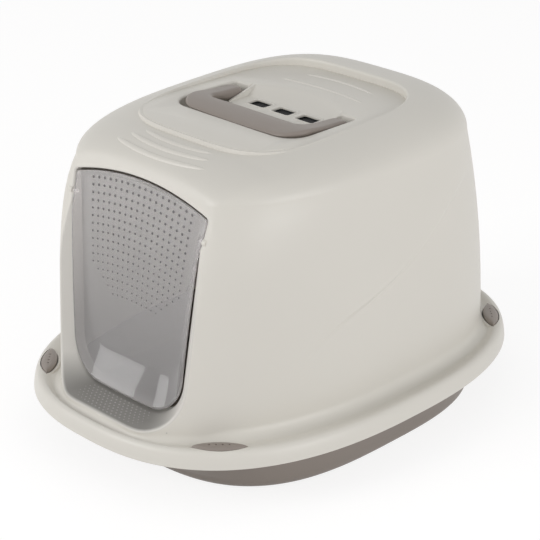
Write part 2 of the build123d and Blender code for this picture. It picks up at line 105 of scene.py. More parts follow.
# %% Outlines and depths
BASE_HEIGHT, SHOULDER_HEIGHT, BROW_HEIGHT = 72.0, 318.0, 320.0
SHOULDER_REACH, SHOULDER_RISE, ROOF_SLOPE = 71.0, 41.4, 0.035
SILL_FRONT, BROW_FRONT = 268.0, 198.5
BROW_REACH, BROW_RISE, BROW_RUN_ON = 64.0, 36.0, 0.355
RAKE = (SILL_FRONT - BROW_FRONT) / (BROW_HEIGHT - BASE_HEIGHT)
# At the base and at the shoulder: the bell's half width, its reach to front and back, and how square it is.
HALF_WIDTH, REACH_FRONT, REACH_BACK = (177.5, 167.5), (278.0, 226.0), (260.0, 207.0)
POWER_FRONT, POWER_BACK = (2.17, 2.7), (2.85, 3.28)
SIDE_BELLY, END_BELLY, CHEEK = 1.7, 8.0, 4.0
COLUMNS = 360
TURNS = np.arange(COLUMNS) * 2 * np.pi / COLUMNS


def mix(low, high, share):
    return low + (high - low) * share


def ease(value, low, high):
    """Zero below low, one above high, and a smooth step between."""
    share = np.clip((value - low) / (high - low), 0, 1)
    return share * share * (3 - 2 * share)


def soft_least(a, b, reach):
    """The smaller of two depths, with the edge between them rounded over reach."""
    overlap = np.clip(reach - np.abs(a - b), 0, None) / reach
    return np.minimum(a, b) - overlap * overlap * reach / 4


def oval(half_width, front, back, power_front, power_back, turns=TURNS):
    """A flat superellipse outline as two rows, x and y."""
    c, s = np.cos(turns), np.sin(turns)
    power = np.where(s < 0, power_front, power_back)
    reach = np.where(s < 0, front, back)
    size = (np.abs(c) ** power + np.abs(s) ** power) ** (-1 / power)
    return half_width * c * size, reach * s * size


def halve(is_inside, near, far, steps):
    """Halve the way between near and far, again and again, towards where the test stops holding."""
    for _ in range(steps):
        middle = (near + far) / 2
        inside = is_inside(middle)
        near, far = np.where(inside, middle, near), np.where(inside, far, middle)
    return near, far


def oval_depth(x, y, half_width, front, back, power_front, power_back):
    """How far the outline must shrink to reach a point: its depth inside the oval."""
    power = np.where(y < 0, power_front, power_back)
    reach = np.where(y < 0, front, back)

    def is_inside(depth):
        return (np.abs(x) / (half_width - depth)) ** power + (np.abs(y) / (reach - depth)) ** power < 1

    near, far = halve(is_inside, np.full(np.shape(x), -150.0), np.minimum(half_width, reach) - 1, 24)
    return (near + far) / 2


def hood_depth(x, y, z):
    """Depth under the hood's skin."""
    share = (np.minimum(z, SHOULDER_HEIGHT) - BASE_HEIGHT) / (SHOULDER_HEIGHT - BASE_HEIGHT)
    belly = 4 * share * (1 - share)
    cheek = CHEEK * np.clip(share, 0, 1) ** 4 * (1 - share)
    inset = oval_depth(
        x, y, mix(*HALF_WIDTH, share) + SIDE_BELLY * belly, mix(*REACH_FRONT, share) + END_BELLY * belly,
        mix(*REACH_BACK, share) + END_BELLY * belly, mix(*POWER_FRONT, share) + cheek,
        mix(*POWER_BACK, share),
    )
    up = np.clip(z - SHOULDER_HEIGHT, 0, None) / (SHOULDER_RISE + ROOF_SLOPE * y)
    bell = 1 - np.hypot(np.clip(1 - inset / SHOULDER_REACH, 0, None), up)
    bell = bell * (SHOULDER_REACH - (SHOULDER_REACH - SHOULDER_RISE) * np.clip(up, 0, 1) ** 2)
    crest = -BROW_FRONT + BROW_REACH
    brow_rise = BROW_RISE + BROW_RUN_ON * np.clip(y - crest, 0, None)
    over = np.clip((z - BROW_HEIGHT) / brow_rise, 0, 1)
    lead = RAKE * BROW_RISE * over * (1 - over) ** 2
    rolled = 1 - np.hypot(np.clip(crest + lead - y, 0, None) / BROW_REACH, over)
    rolled = rolled * (BROW_REACH - (BROW_REACH - BROW_RISE) * over ** 2)
    flat = (y + BROW_FRONT + RAKE * (BROW_HEIGHT - z)) / math.hypot(1, RAKE)
    face = np.where(z > BROW_HEIGHT, rolled, flat)
    return soft_least(bell, face, 5 + 25 * ease(z, 318, 345))


def find_skin(start, direction, depth=0.0, reach=400.0):
    """Go from points inside the hood along directions, and stop at the given depth under the skin."""
    def is_inside(way):
        return hood_depth(*(start + direction * way[:, None]).T) > depth

    way, _ = halve(is_inside, np.zeros(len(start)), np.full(len(start), reach), 26)
    return start + direction * way[:, None]


def ring(x, y, z):
    """An outline as rows of x, y, z."""
    return np.stack(np.broadcast_arrays(x, y, z), axis=1).astype(float)


def level(outline, z):
    """An outline of x and y, laid at a height."""
    return ring(outline[:, 0], outline[:, 1], z)


def upright(outline, x):
    """An outline of y and z, stood at a distance to the right."""
    return ring(x, outline[:, 0], outline[:, 1])


OUTWARD = np.stack([np.cos(TURNS) * 177, np.sin(TURNS) * 250, np.zeros(COLUMNS)], axis=1)
OUTWARD /= np.linalg.norm(OUTWARD, axis=1)[:, None]


def wall_outline(z, depth=0.0):
    """The hood's wall at a height, or at one height for each column of points."""
    return find_skin(ring(0 * TURNS, 0 * TURNS, z), OUTWARD, depth)


print("hood front at 200 mm up:", round(float(wall_outline(200.0)[270, 1]), 1), "mm")

# %% [markdown]
# ## The shell of the hood
# On the real hood one thin moulding makes the rolled rim, the drip trough, the wall, the shoulder and the
# raised lip round the roof panel. So one skin makes them here too: it starts under the rim, goes round it,
# up the outside, over the lip, and back down the inside to where it began. The crease on each flank is in
# the same skin, and its rows of points are laid along the crease so that the step stays crisp.

# %% Outlines of the rim and the foot
def rim_outline(inset, z):
    x, y = oval(217.5 - inset, 290 - inset, 290 - inset, 2.5, 2.5)
    return ring(x, y, z)


def along_columns(points):
    """Where each column's direction meets an outline whose points were spaced some other way."""
    angle = np.unwrap(np.arctan2(points[:, 1], points[:, 0]))
    size = np.hypot(points[:, 0], points[:, 1])
    wanted = np.arctan2(OUTWARD[:, 1], OUTWARD[:, 0])
    return np.interp(wanted, angle, size, period=2 * np.pi)


RIM_OUTSIDE = [
    (2.1, 50.7), (1.3, 50.5), (0.5, 50.7), (0.0, 51.6), (0.3, 55.0), (0.8, 58.4), (1.4, 61.8), (2.2, 64.9),
    (3.2, 67.3), (4.6, 69.0), (6.4, 70.1), (8.6, 70.5),
]
RIM_INSIDE = [(19.0, 63.0), (10.0, 63.0), (5.8, 62.6), (4.2, 60.4), (3.2, 56.5), (2.6, 52.0)]
RIM_TOP, TROUGH_FLOOR = 70.5, 65.5

rim_top_reach = along_columns(rim_outline(8.6, RIM_TOP))
foot = wall_outline(70.0)
foot_reach = np.hypot(foot[:, 0], foot[:, 1])
trough_width = rim_top_reach - foot_reach
fillet = np.clip(0.45 * trough_width, 2.5, 13 - 5 * ease(-foot[:, 1], 200, 225))
foot_top = TROUGH_FLOOR + fillet


def out_to(reach, z):
    return ring(OUTWARD[:, 0] * reach, OUTWARD[:, 1] * reach, z)


def columns_of(points):
    """An outline's own points, moved along it to lie on the hood's columns."""
    return out_to(along_columns(points), points[:, 2])


rim_rings = [columns_of(rim_outline(inset, z)) for inset, z in RIM_OUTSIDE]
foot_rings = []
for share in (0.1, 0.25, 0.42, 0.6, 0.78, 0.92, 1.0):
    foot_rings.append(out_to(mix(rim_top_reach, foot_reach + fillet, share),
                             RIM_TOP - (RIM_TOP - TROUGH_FLOOR) * (1 - math.cos(math.pi * share)) / 2))
for angle in np.radians([20, 40, 60, 78]):
    foot_rings.append(out_to(foot_reach + fillet * (1 - math.sin(angle)),
                             TROUGH_FLOOR + fillet * (1 - math.cos(angle))))

# %% The wall, with the crease on its flanks
CREASE = np.array([
    (143, 280), (116, 269), (94, 257), (69, 239.5), (48, 224), (14.5, 207.6), (-18, 197), (-63, 183),
    (-97, 160), (-128, 138),
])
CREASE_BACK, CREASE_FRONT = 150.0, -140.0
CREASE_STEP, CREASE_BAND, CREASE_FADE = 4.6, 8.0, 90.0
crease_curve = np.polyfit(CREASE[:, 0], CREASE[:, 1], 4)
column_y = wall_outline(200.0)[:, 1]
crease_height = np.polyval(crease_curve, np.clip(column_y, CREASE_FRONT, CREASE_BACK))
crease_step = CREASE_STEP * ease(column_y, CREASE_FRONT, 10) * (1 - ease(column_y, 40, 175))
crease_fade = np.minimum(CREASE_FADE, SHOULDER_HEIGHT - crease_height)


def stand_out(above):
    """How proud of the plain wall the skin is, from the height above the crease."""
    return crease_step * ease(above, -CREASE_BAND, -0.3) * (1 - ease(above, 2, crease_fade))


NEAR_CREASE = [-20, -14, -10, -8, -7, -5.8, -4.2, -2.6, -1.2, -0.3, 0.8, 2.5, 6, 12, 20]
wall_rings = []
for share in np.linspace(0, 1, 15)[:-1]:
    wall_rings.append(mix(foot_top, crease_height + NEAR_CREASE[0], share))
wall_rings += [crease_height + above for above in NEAR_CREASE]
for share in np.linspace(0, 1, 15)[1:]:
    wall_rings.append(mix(crease_height + NEAR_CREASE[-1], SHOULDER_HEIGHT + 0 * TURNS, share))
wall_rings = [wall_outline(z) + OUTWARD * stand_out(z - crease_height)[:, None] for z in wall_rings]
print("rows of points up the wall:", len(wall_rings))

# %% The shoulder, the lip round the roof panel, and the inside
PANEL_HEIGHT, PANEL_HALF_WIDTH, PANEL_HALF_LENGTH, PANEL_POWER = 354.2, 116.0, 133.5, 3.8
PANEL_TURNS = np.arctan2(OUTWARD[:, 1] / PANEL_HALF_LENGTH, OUTWARD[:, 0] / PANEL_HALF_WIDTH)
SHOULDER_ROWS, UNDER_ROOF = 24, 290.0


def panel_outline(inset):
    half_width, half_length = PANEL_HALF_WIDTH - inset, PANEL_HALF_LENGTH - inset
    return oval(half_width, half_length, half_length, PANEL_POWER, PANEL_POWER, PANEL_TURNS)


def onto_roof(x, y, depth=0.0):
    """Points straight above x and y, on the skin of the shoulder, brow or roof."""
    start = ring(x, y, UNDER_ROOF)
    return find_skin(start, np.tile((0.0, 0.0, 1.0), (len(start), 1)), depth, reach=90.0)


def shoulder_rings(top_wall, rows, depth=0.0):
    """Rows over the shoulder, close together where it turns, from the wall to the panel's edge."""
    edge_x, edge_y = panel_outline(-3.0)
    rings = []
    for row in range(1, rows + 1):
        share = 1 - math.cos(row / rows * math.pi / 2)
        x, y = mix(top_wall[:, 0], edge_x, share), mix(top_wall[:, 1], edge_y, share)
        rings.append(onto_roof(x, y, depth))
    return rings


HOOD_WALL = 2.8
outer_shoulder = shoulder_rings(wall_rings[-1], SHOULDER_ROWS)
lip_bead = 0.7 * (1 - ease(panel_outline(0)[1], -60, 40))
lip_rings = []
for inset, rise, drop in [(-2.0, 0.4, 0), (-1.0, 0.9, 0), (-0.2, 1.0, 0), (0.6, 0.7, 0.1), (1.4, 0.1, 0.7),
                          (2.0, 0, 1.7), (2.3, 0, 3.0)]:
    x, y = panel_outline(inset)
    top = onto_roof(x, y)[:, 2] + lip_bead * rise - drop
    lip_rings.append(ring(x, y, np.maximum(top, PANEL_HEIGHT - 0.4)))
x, y = panel_outline(2.4)
lip_rings += [ring(x, y, PANEL_HEIGHT - 0.8), ring(x, y, PANEL_HEIGHT - HOOD_WALL)]
x, y = panel_outline(0.0)
lip_rings.append(ring(x, y, PANEL_HEIGHT - HOOD_WALL))

RIM_UNDERSIDE = RIM_INSIDE[0][1]
inner_wall = [wall_outline(z, HOOD_WALL) for z in np.linspace(SHOULDER_HEIGHT, RIM_UNDERSIDE, 14)]
inner_shoulder = shoulder_rings(inner_wall[0], 10, HOOD_WALL)[::-1]
inner_rim = [columns_of(rim_outline(inset, z)) for inset, z in RIM_INSIDE]
inner_foot_reach = np.hypot(inner_wall[-1][:, 0], inner_wall[-1][:, 1])
inner_rim[0] = out_to(np.maximum(along_columns(rim_outline(*RIM_INSIDE[0])), inner_foot_reach + 1),
                      RIM_UNDERSIDE)

outer_side = rim_rings + foot_rings + wall_rings + outer_shoulder + lip_rings
inner_side = inner_shoulder + inner_wall + inner_rim
hood_shell = grow_skin("hood_shell", outer_side + inner_side, ends="joined")
print("hood shell:", len(hood_shell.data.polygons), "faces")

# %% [markdown]
# ## The mouth
# The mouth is a short throat round the flap that flares out into a funnel, and its floor is the sill that
# the cat steps on. Where the funnel meets the skin, the moulding rolls over in a small radius. Each line of
# the funnel is followed outwards until it meets the skin, and a ball rolled into that corner gives the
# radius. The funnel is a thin wall of its own, and a cutter of about the same shape opens the shell there.

# %% The shield outline and the leaning plane that it lies on
# The plane goes through two points of the flap, as y and z, near its top and at its foot.
FLAP_HIGH, FLAP_LOW = (-206.0, 284.0), (-225.5, 80.0)
FLAP_LEAN = (FLAP_HIGH[0] - FLAP_LOW[0]) / (FLAP_HIGH[1] - FLAP_LOW[1])
FLAP_FOOT_Y = FLAP_LOW[0] - FLAP_LOW[1] * FLAP_LEAN
FLAP_DEPTH = 8.0
FLAP_TOP_HALF, FLAP_CORNER_Z, FLAP_CREST_Z = 102.0, 304.3, 319.3
FLAP_LOW_HALF, FLAP_LOW_Z, FLAP_BOTTOM_Z, FLAP_BOTTOM_CORNER = 85.0, 106.0, 82.0, 46.0
SIDE_LEAN = (FLAP_TOP_HALF - FLAP_LOW_HALF) / (FLAP_CORNER_Z - FLAP_LOW_Z)


def rounded_corner(before, corner, after, radius, count):
    """Points of a round corner between two straight edges."""
    corner, before, after = np.array(corner), np.array(before), np.array(after)
    back = (before - corner) / np.linalg.norm(before - corner)
    on = (after - corner) / np.linalg.norm(after - corner)
    half = math.acos(float(np.clip(back @ on, -1, 1))) / 2
    centre = corner + (back + on) / np.linalg.norm(back + on) * radius / math.sin(half)
    touch = [corner + back * radius / math.tan(half), corner + on * radius / math.tan(half)]
    start, end = [math.atan2(*(point - centre)[::-1]) for point in touch]
    end = start + (end - start + math.pi) % (2 * math.pi) - math.pi
    return [(centre[0] + radius * math.cos(angle), centre[1] + radius * math.sin(angle))
            for angle in np.linspace(start, end, count)]


def evenly(start, end, count):
    """Points strictly between two others."""
    return [(mix(start[0], end[0], n / (count + 1)), mix(start[1], end[1], n / (count + 1)))
            for n in range(1, count + 1)]


def shield(side_grow=0.0, top_grow=0.0, bottom_grow=0.0, corner=FLAP_BOTTOM_CORNER, top_corner=5.0):
    """The outline of flap or mouth as rows of x and z, from the middle of the foot round to the right."""
    foot = FLAP_LOW_HALF - SIDE_LEAN * (FLAP_LOW_Z - FLAP_BOTTOM_Z) + side_grow
    top = FLAP_TOP_HALF + side_grow
    bottom, shoulder, crest = FLAP_BOTTOM_Z - bottom_grow, FLAP_CORNER_Z + top_grow, FLAP_CREST_Z + top_grow
    radius = (top * top + (crest - shoulder) ** 2) / (2 * (crest - shoulder))

    def arch(x):
        return crest - radius + math.sqrt(radius ** 2 - x * x)

    low = rounded_corner((0, bottom), (foot, bottom), (top, shoulder), corner, 15)
    high = rounded_corner(low[-1], (top, shoulder), (0.9 * top, arch(0.9 * top)), top_corner, 7)
    half = [(0, bottom)] + evenly((0, bottom), low[0], 14) + low + evenly(low[-1], high[0], 26) + high
    end_x = high[-1][0]
    half += [(end_x * share, arch(end_x * share)) for share in np.linspace(1, 0, 19)[1:]]
    half = np.array(half)
    return np.concatenate([half, half[1:-1][::-1] * (-1, 1)])


def lean_y(z, forward):
    return FLAP_FOOT_Y - forward + z * FLAP_LEAN


def on_lean(outline, forward):
    return ring(outline[:, 0], lean_y(outline[:, 1], forward), outline[:, 1])


# %% The funnel's lines, and the rolled edge where they meet the skin
FLAP_GAP, FLAP_TOP_GAP, THROAT_DEPTH = 1.6, 2.4, 14.0
FUNNEL_LENGTH, FUNNEL_FLARE, FUNNEL_DROP, LIP_CORNER = 45.0, 54.0, 6.0, 80.0
throat_forward = FLAP_DEPTH / 2
throat_outline = shield(FLAP_GAP, FLAP_TOP_GAP, 2 * FLAP_GAP, FLAP_BOTTOM_CORNER + FLAP_GAP)
lip_outline = shield(FLAP_GAP + FUNNEL_FLARE, FLAP_TOP_GAP, 2 * FLAP_GAP + FUNNEL_DROP, LIP_CORNER)
throat_back = on_lean(throat_outline, throat_forward - THROAT_DEPTH)
throat_front = on_lean(throat_outline, throat_forward)
funnel_lip = on_lean(lip_outline, throat_forward + FUNNEL_LENGTH)


def along_funnel(share):
    """Points on the funnel's lines: 0 is the back of the throat, 1 its front, 2 the lip's plane."""
    share = np.asarray(share)[:, None]
    straight = mix(throat_back, throat_front, np.minimum(share, 1))
    return straight + (funnel_lip - throat_front) * np.clip(share - 1, 0, None)


points = len(throat_outline)
edge_share, _ = halve(lambda share: hood_depth(*along_funnel(share).T) > 0,
                      np.zeros(points), np.full(points, 2.4), 30)
edge = along_funnel(edge_share)


def unit(rows):
    return rows / np.linalg.norm(rows, axis=1)[:, None]


def skin_normal(at, step=0.5):
    slopes = [hood_depth(*(at + offset).T) - hood_depth(*(at - offset).T) for offset in np.eye(3) * step]
    return -unit(np.stack(slopes, axis=1))


MOUTH_MIDDLE = 200


def round_loop(rows):
    """The direction of a closed outline at each of its points."""
    return unit(np.roll(rows, -1, axis=0) - np.roll(rows, 1, axis=0))


def turned_outward(rows):
    """The same directions, each with its sign such that it leads away from the middle of the mouth."""
    from_middle = edge - np.array([0, 0, MOUTH_MIDDLE])
    return rows * np.sign(np.sum(rows * from_middle * (1, 0, 1), axis=1))[:, None]


EDGE_RADIUS, ARCH_RADIUS_LESS, FOOT_RADIUS_MORE = 2.6, 1.3, 1.4
normal = skin_normal(edge)
away_from_mouth = turned_outward(unit(np.cross(round_loop(edge), normal)))
into_mouth = -unit(along_funnel(edge_share + 0.02) - along_funnel(edge_share - 0.02))
half_angle = np.arccos(np.clip(np.sum(into_mouth * away_from_mouth, axis=1), -1, 1)) / 2
facing = round_loop(throat_outline)
up_share, down_share = np.clip(-facing[:, 0], 0, 1), np.clip(facing[:, 0], 0, 1)
edge_radius = EDGE_RADIUS - ARCH_RADIUS_LESS * up_share + FOOT_RADIUS_MORE * down_share
edge_radius = np.convolve(np.tile(edge_radius, 3), np.ones(9) / 9, "same")[points:2 * points]
reach = edge_radius / np.tan(half_angle)
ball = edge + unit(into_mouth + away_from_mouth) * (edge_radius / np.sin(half_angle))[:, None]
touch_funnel = edge + into_mouth * reach[:, None]
touch_skin = edge + away_from_mouth * reach[:, None]


def rolled_edge(share):
    """Points of the rolled edge: 0 touches the funnel and 1 touches the skin."""
    spoke = unit(mix(touch_funnel - ball, touch_skin - ball, share))
    return ball + spoke * edge_radius[:, None]


print("mouth edge:", edge.min(axis=0).round(1), edge.max(axis=0).round(1))

# %% The funnel's wall
wall_out = turned_outward(np.stack([facing[:, 1], np.zeros(points), -facing[:, 0]], axis=1))
funnel_end = np.linalg.norm(touch_funnel - edge, axis=1)
line_step = np.linalg.norm(along_funnel(edge_share) - along_funnel(edge_share - 0.01), axis=1) / 0.01
touch_share = edge_share - funnel_end / line_step
corner_share = np.minimum(touch_share, 1)
front_side = [along_funnel(corner_share * part) for part in (0, 0.4, 0.75, 1)]
front_side += [along_funnel(mix(corner_share, touch_share, part)) for part in (0.15, 0.4, 0.7)]
front_side += [rolled_edge(share) for share in np.linspace(0, 1, 8)]
tucked = touch_skin + away_from_mouth * 1.5
back_side = [
    tucked - normal * 0.5, tucked - normal * 2.2, touch_funnel + wall_out * HOOD_WALL,
    along_funnel(corner_share) + wall_out * HOOD_WALL, along_funnel(0 * corner_share) + wall_out * HOOD_WALL,
]
mouth_funnel = grow_skin("mouth_funnel", front_side + back_side, ends="joined")


# %% Open the shell
def cut(piece, cutter, operation="DIFFERENCE"):
    """Cut one closed mesh with another, which is then thrown away."""
    clear_selection()
    bpy.context.view_layer.objects.active = piece
    modifier = piece.modifiers.new("cut", "BOOLEAN")
    modifier.operation, modifier.solver, modifier.object = operation, "EXACT", cutter
    bpy.ops.object.modifier_apply(modifier=modifier.name)
    bpy.data.objects.remove(cutter)


IN_WALL, BEFORE_HOOD = 1.4, -340.0
cutter_foot = shield(FLAP_GAP + IN_WALL, FLAP_TOP_GAP + IN_WALL, 2 * FLAP_GAP + IN_WALL,
                     FLAP_BOTTOM_CORNER + FLAP_GAP + IN_WALL)
front_cap = touch_skin + normal * 6.0
front_cap[:, 1] = BEFORE_HOOD
cutter_rings = [
    on_lean(cutter_foot, throat_forward - 4 * THROAT_DEPTH), along_funnel(corner_share) + wall_out * IN_WALL,
    touch_funnel + wall_out * 1.2, touch_skin - normal * 0.6, touch_skin + normal * 4.0, front_cap,
]
cut(hood_shell, grow_skin("mouth_cutter", cutter_rings))
print("hood shell after the mouth is cut:", len(hood_shell.data.polygons), "faces")

# %% [markdown]
# ## The roof panel
# Inside its raised lip the roof is a flat panel. The handle lies in a well sunk in it, and behind the well a
# low shelf holds three vents and ramps back up to the panel. On the mould this is one more surface, but a
# maker at a screen gets the same thing faster by adding plain blocks and cutting others away, and then
# rounding the edges. Everything that could be seen through the vents is behind the shelf.

# %% Blocks and outlines with rounded corners
def rounded_outline(corners, radii, count=6):
    """A closed outline through corners, each rounded by its own radius, as rows of x and y."""
    outline = []
    for number, corner in enumerate(corners):
        before, after = corners[number - 1], corners[(number + 1) % len(corners)]
        outline += rounded_corner(before, corner, after, radii[number], count)
    return np.array(outline)


def rectangle(x, y, radius, count=4):
    return rounded_outline([(x[0], y[0]), (x[1], y[0]), (x[1], y[1]), (x[0], y[1])], [radius] * 4, count)


def stack(outline_at, levels):
    """Rings from an outline function of how far it is grown, at pairs of grow and height."""
    return [level(outline_at(grow), z) for grow, z in levels]


def join_to(piece, added):
    """Merge a closed mesh into another."""
    cut(piece, added, operation="UNION")


def soften(piece, width, segments=2, angle=35.0):
    """Round the sharp edges of a piece with a bevel."""
    clear_selection()
    bpy.context.view_layer.objects.active = piece
    piece.select_set(True)
    modifier = piece.modifiers.new("soften", "BEVEL")
    modifier.width, modifier.segments = width * MM, segments
    modifier.limit_method, modifier.angle_limit = "ANGLE", math.radians(angle)
    modifier.harden_normals = False
    bpy.ops.object.modifier_apply(modifier=modifier.name)


def smooth(piece, angle=35.0):
    clear_selection()
    bpy.context.view_layer.objects.active = piece
    piece.select_set(True)
    bpy.ops.object.shade_smooth_by_angle(angle=math.radians(angle))


# %% The panel, its well and its shelf
WELL_FLOOR, SHELF_HEIGHT, PANEL_OPEN = 332.0, 343.4, 362.0
WELL_HALF, WELL_FRONT, SHELF_FRONT, POCKET_INNER, POCKET_BACK = 93.5, -72.5, -8.0, 69.8, 29.0
SHELF_HALF, ROOF_WALL = 67.0, 2.8


def well_outline(grow):
    """The handle's well from above: a U whose two arms are the slots that the handle's arms lie in."""
    wide, front, back, inner = WELL_HALF + grow, WELL_FRONT - grow, POCKET_BACK + grow, POCKET_INNER - grow
    corners = [(-wide, front), (wide, front), (wide, back), (inner, back), (inner, SHELF_FRONT + grow),
               (-inner, SHELF_FRONT + grow), (-inner, back), (-wide, back)]
    return rounded_outline(corners, [24 + grow] * 2 + [5 + grow] * 2 + [5.5 - grow] * 2 + [5 + grow] * 2)


def straight_block(name, outline, low, high):
    """A block with the same outline at two heights."""
    return grow_skin(name, [level(outline, low), level(outline, high)])


plate = np.stack(panel_outline(1.2), axis=1)
tub = rectangle((-WELL_HALF - ROOF_WALL, WELL_HALF + ROOF_WALL), (WELL_FRONT - ROOF_WALL, 54.0), 22.0, 8)
roof_panel = straight_block("roof_panel", plate, PANEL_HEIGHT - 2.6, PANEL_HEIGHT)
join_to(roof_panel, straight_block("tub", tub, WELL_FLOOR - ROOF_WALL, PANEL_HEIGHT - 1.3))
TOP_ROLL, FLOOR_ROLL = 2.6, 2.0
rolled_top = [(TOP_ROLL * (1 - math.cos(a)), PANEL_HEIGHT - TOP_ROLL * (1 - math.sin(a)))
              for a in np.linspace(0, 1.45, 6)]
floor_roll = [(FLOOR_ROLL * (math.sin(a) - 1), WELL_FLOOR + FLOOR_ROLL * (1 - math.cos(a)))
              for a in np.linspace(0, 1.57, 4)]
well_cutter = stack(well_outline, floor_roll + rolled_top + [(2.9, PANEL_OPEN)])
cut(roof_panel, grow_skin("well_cutter", well_cutter))

# %% The shelf with its curved ramp, and the gussets beside it
CUT_FRONT, GUSSET_BACK = SHELF_FRONT - 6, 35.5


def shelf_section(x):
    """The section of what is cut over the shelf, as y and z: flat, then ramped up to the panel."""
    bulge = 1 - (x / SHELF_HALF) ** 2
    return np.array([
        (CUT_FRONT, SHELF_HEIGHT), (20 + 8 * bulge, SHELF_HEIGHT), (22 + 8.4 * bulge, SHELF_HEIGHT + 0.4),
        (34.2 + 20.6 * bulge, PANEL_HEIGHT - 0.7), (36.4 + 21.3 * bulge, PANEL_HEIGHT + 0.1),
        (36.5 + 21.3 * bulge, PANEL_OPEN), (CUT_FRONT, PANEL_OPEN)])


shelf_rings = [upright(shelf_section(x), x) for x in np.linspace(-SHELF_HALF, SHELF_HALF, 25)]
cut(roof_panel, grow_skin("shelf_cutter", shelf_rings))
gusset = np.array([(CUT_FRONT, SHELF_HEIGHT - 1.3), (GUSSET_BACK, PANEL_HEIGHT), (GUSSET_BACK, PANEL_OPEN),
                   (CUT_FRONT, PANEL_OPEN)])
SIDES = {"right": 1, "left": -1}
for side in SIDES.values():
    rings = [upright(gusset, side * x) for x in (SHELF_HALF - 1, POCKET_INNER + 1.5)]
    cut(roof_panel, grow_skin("gusset_cutter", rings))

# %% Vents with raised frames
VENT_PITCH, VENT_Y, VENT_HALF, VENT_HALF_DEPTH, VENT_CORNER = 37.0, 12.5, 13.0, 8.6, 3.0
VENT_PLACES = (-VENT_PITCH, 0.0, VENT_PITCH)
UNDER_WELL, SHELF_WALL = WELL_FLOOR - 9, 1.8


def vent_outline(middle, grow, count):
    half, half_depth = VENT_HALF + grow, VENT_HALF_DEPTH + grow
    return rectangle((middle - half, middle + half), (VENT_Y - half_depth, VENT_Y + half_depth),
                     VENT_CORNER + grow, count)


for middle in VENT_PLACES:
    cut(roof_panel, straight_block("vent", vent_outline(middle, 0, 4), UNDER_WELL, SHELF_HEIGHT + 5))
chamber_half = POCKET_INNER - ROOF_WALL
chamber = rectangle((-chamber_half, chamber_half), (SHELF_FRONT + ROOF_WALL, 35.0), 2.0)
cut(roof_panel, straight_block("chamber", chamber, UNDER_WELL, SHELF_HEIGHT - SHELF_WALL))
soften(roof_panel, 0.7)
smooth(roof_panel)

FRAME_LEVELS = [(0.05, -1.0), (0.05, 0.4), (0.35, 0.7), (2.2, 0.7), (2.8, 0.4), (3.2, -0.3)]
vent_frames = []
for number, middle in enumerate(VENT_PLACES, 1):
    rings = [level(vent_outline(middle, grow, 6), SHELF_HEIGHT + rise) for grow, rise in FRAME_LEVELS]
    vent_frames.append(grow_skin(f"vent_frame_{number}", rings, ends="joined"))
    smooth(vent_frames[-1], 50)
print("roof panel:", len(roof_panel.data.polygons), "faces, with", len(vent_frames), "vents")

# %% [markdown]
# ## Ridges on the brow and behind the vents
# Three low curved ridges run across the brow and two across the ramp behind the vents. Each is a smooth bar
# that sits half sunk in the skin and thins out to nothing at its ends, so it is a stack of small sections
# along a curve. The same maker serves for both kinds.

# %% A ridge along a line
RIDGE_ARCH = [(-1, 0.0), (-0.75, 0.62), (-0.4, 0.92), (0, 1.0), (0.4, 0.92), (0.75, 0.62), (1, 0.0)]
RIDGE_SINK = 0.8


def make_ridge(name, line, up, width, height):
    """A bar along a line of points: its section is a low arch that shrinks towards the ends."""
    across = unit(np.cross(up, unit(np.gradient(line, axis=0))))
    rings = []
    for share, point, aside, above in zip(np.linspace(-1, 1, len(line)), line, across, up):
        fade = math.sqrt(1 - abs(share) ** 5)
        half, rise = max(width / 2 * fade, 0.15), height * fade
        section = [(side, lift * rise) for side, lift in RIDGE_ARCH]
        section = [(-1.25, -RIDGE_SINK), *section, (1.25, -RIDGE_SINK)]
        rings.append(np.array([point + aside * side * half + above * lift for side, lift in section]))
    ridge = grow_skin(name, rings)
    smooth(ridge, 60)
    return ridge


def ridge_on_skin(name, half_length, y_middle, y_bow, width, height):
    x = np.linspace(-half_length, half_length, 41)
    y = y_middle + y_bow * (x / half_length) ** 2
    line = onto_roof(x, y)
    return make_ridge(name, line, skin_normal(line), width, height)


def ridge_on_panel(name, half_length, y_ends, y_bow, width, height):
    x = np.linspace(-half_length, half_length, 41)
    line = ring(x, y_ends + y_bow * (1 - (x / half_length) ** 2), PANEL_HEIGHT)
    return make_ridge(name, line, np.tile((0.0, 0.0, 1.0), (len(x), 1)), width, height)


brow_ridges = [ridge_on_skin(f"brow_ridge_{number}", half_length, y_middle, y_bow, 7.0, 1.7)
               for number, half_length, y_middle, y_bow in
               [(1, 68, -180.0, 8.0), (2, 60, -166.0, 7.5), (3, 51, -151.5, 5.8)]]
back_ridges = [ridge_on_panel(f"back_ridge_{number}", half_length, y_ends, y_bow, 5.0, 1.0)
               for number, half_length, y_ends, y_bow in [(1, 62.7, 71.4, 7.0), (2, 50.9, 102.5, 6.5)]]
print("ridges:", len(brow_ridges), "on the brow and", len(back_ridges), "on the panel")

# %% [markdown]
# Under the shelf two rails carry the filter's holder. They are plain angle strips, and only someone who
# lifts the hood sees them.

# %% Rails for the filter's holder
RAIL_SECTION = np.array([
    (57.6, 328.8), (69.9, 328.8), (69.9, 341.2), (62.8, 341.2), (62.8, 331.2), (57.6, 331.2)])
RAIL_ENDS = (-4.6, 34.6)
rails = []
for word, side in SIDES.items():
    rings = [ring(side * RAIL_SECTION[:, 0], y, RAIL_SECTION[:, 1]) for y in RAIL_ENDS]
    rails.append(grow_skin(f"filter_rail_{word}", rings))
    soften(rails[-1], 0.4)
    smooth(rails[-1])
print("rails:", len(rails))

# %% [markdown]
# ## The flap
# The flap is moulded in clear plastic as a shallow dish: a flat plate with a border that slopes forward to a
# thin rim, wide at the foot, where it takes the cat's push. Two pins near the top hang it in the mouth. The
# dish is one skin that starts in the middle of the back, goes round the rim and ends in the middle of the
# front, so that light bends through real thickness.

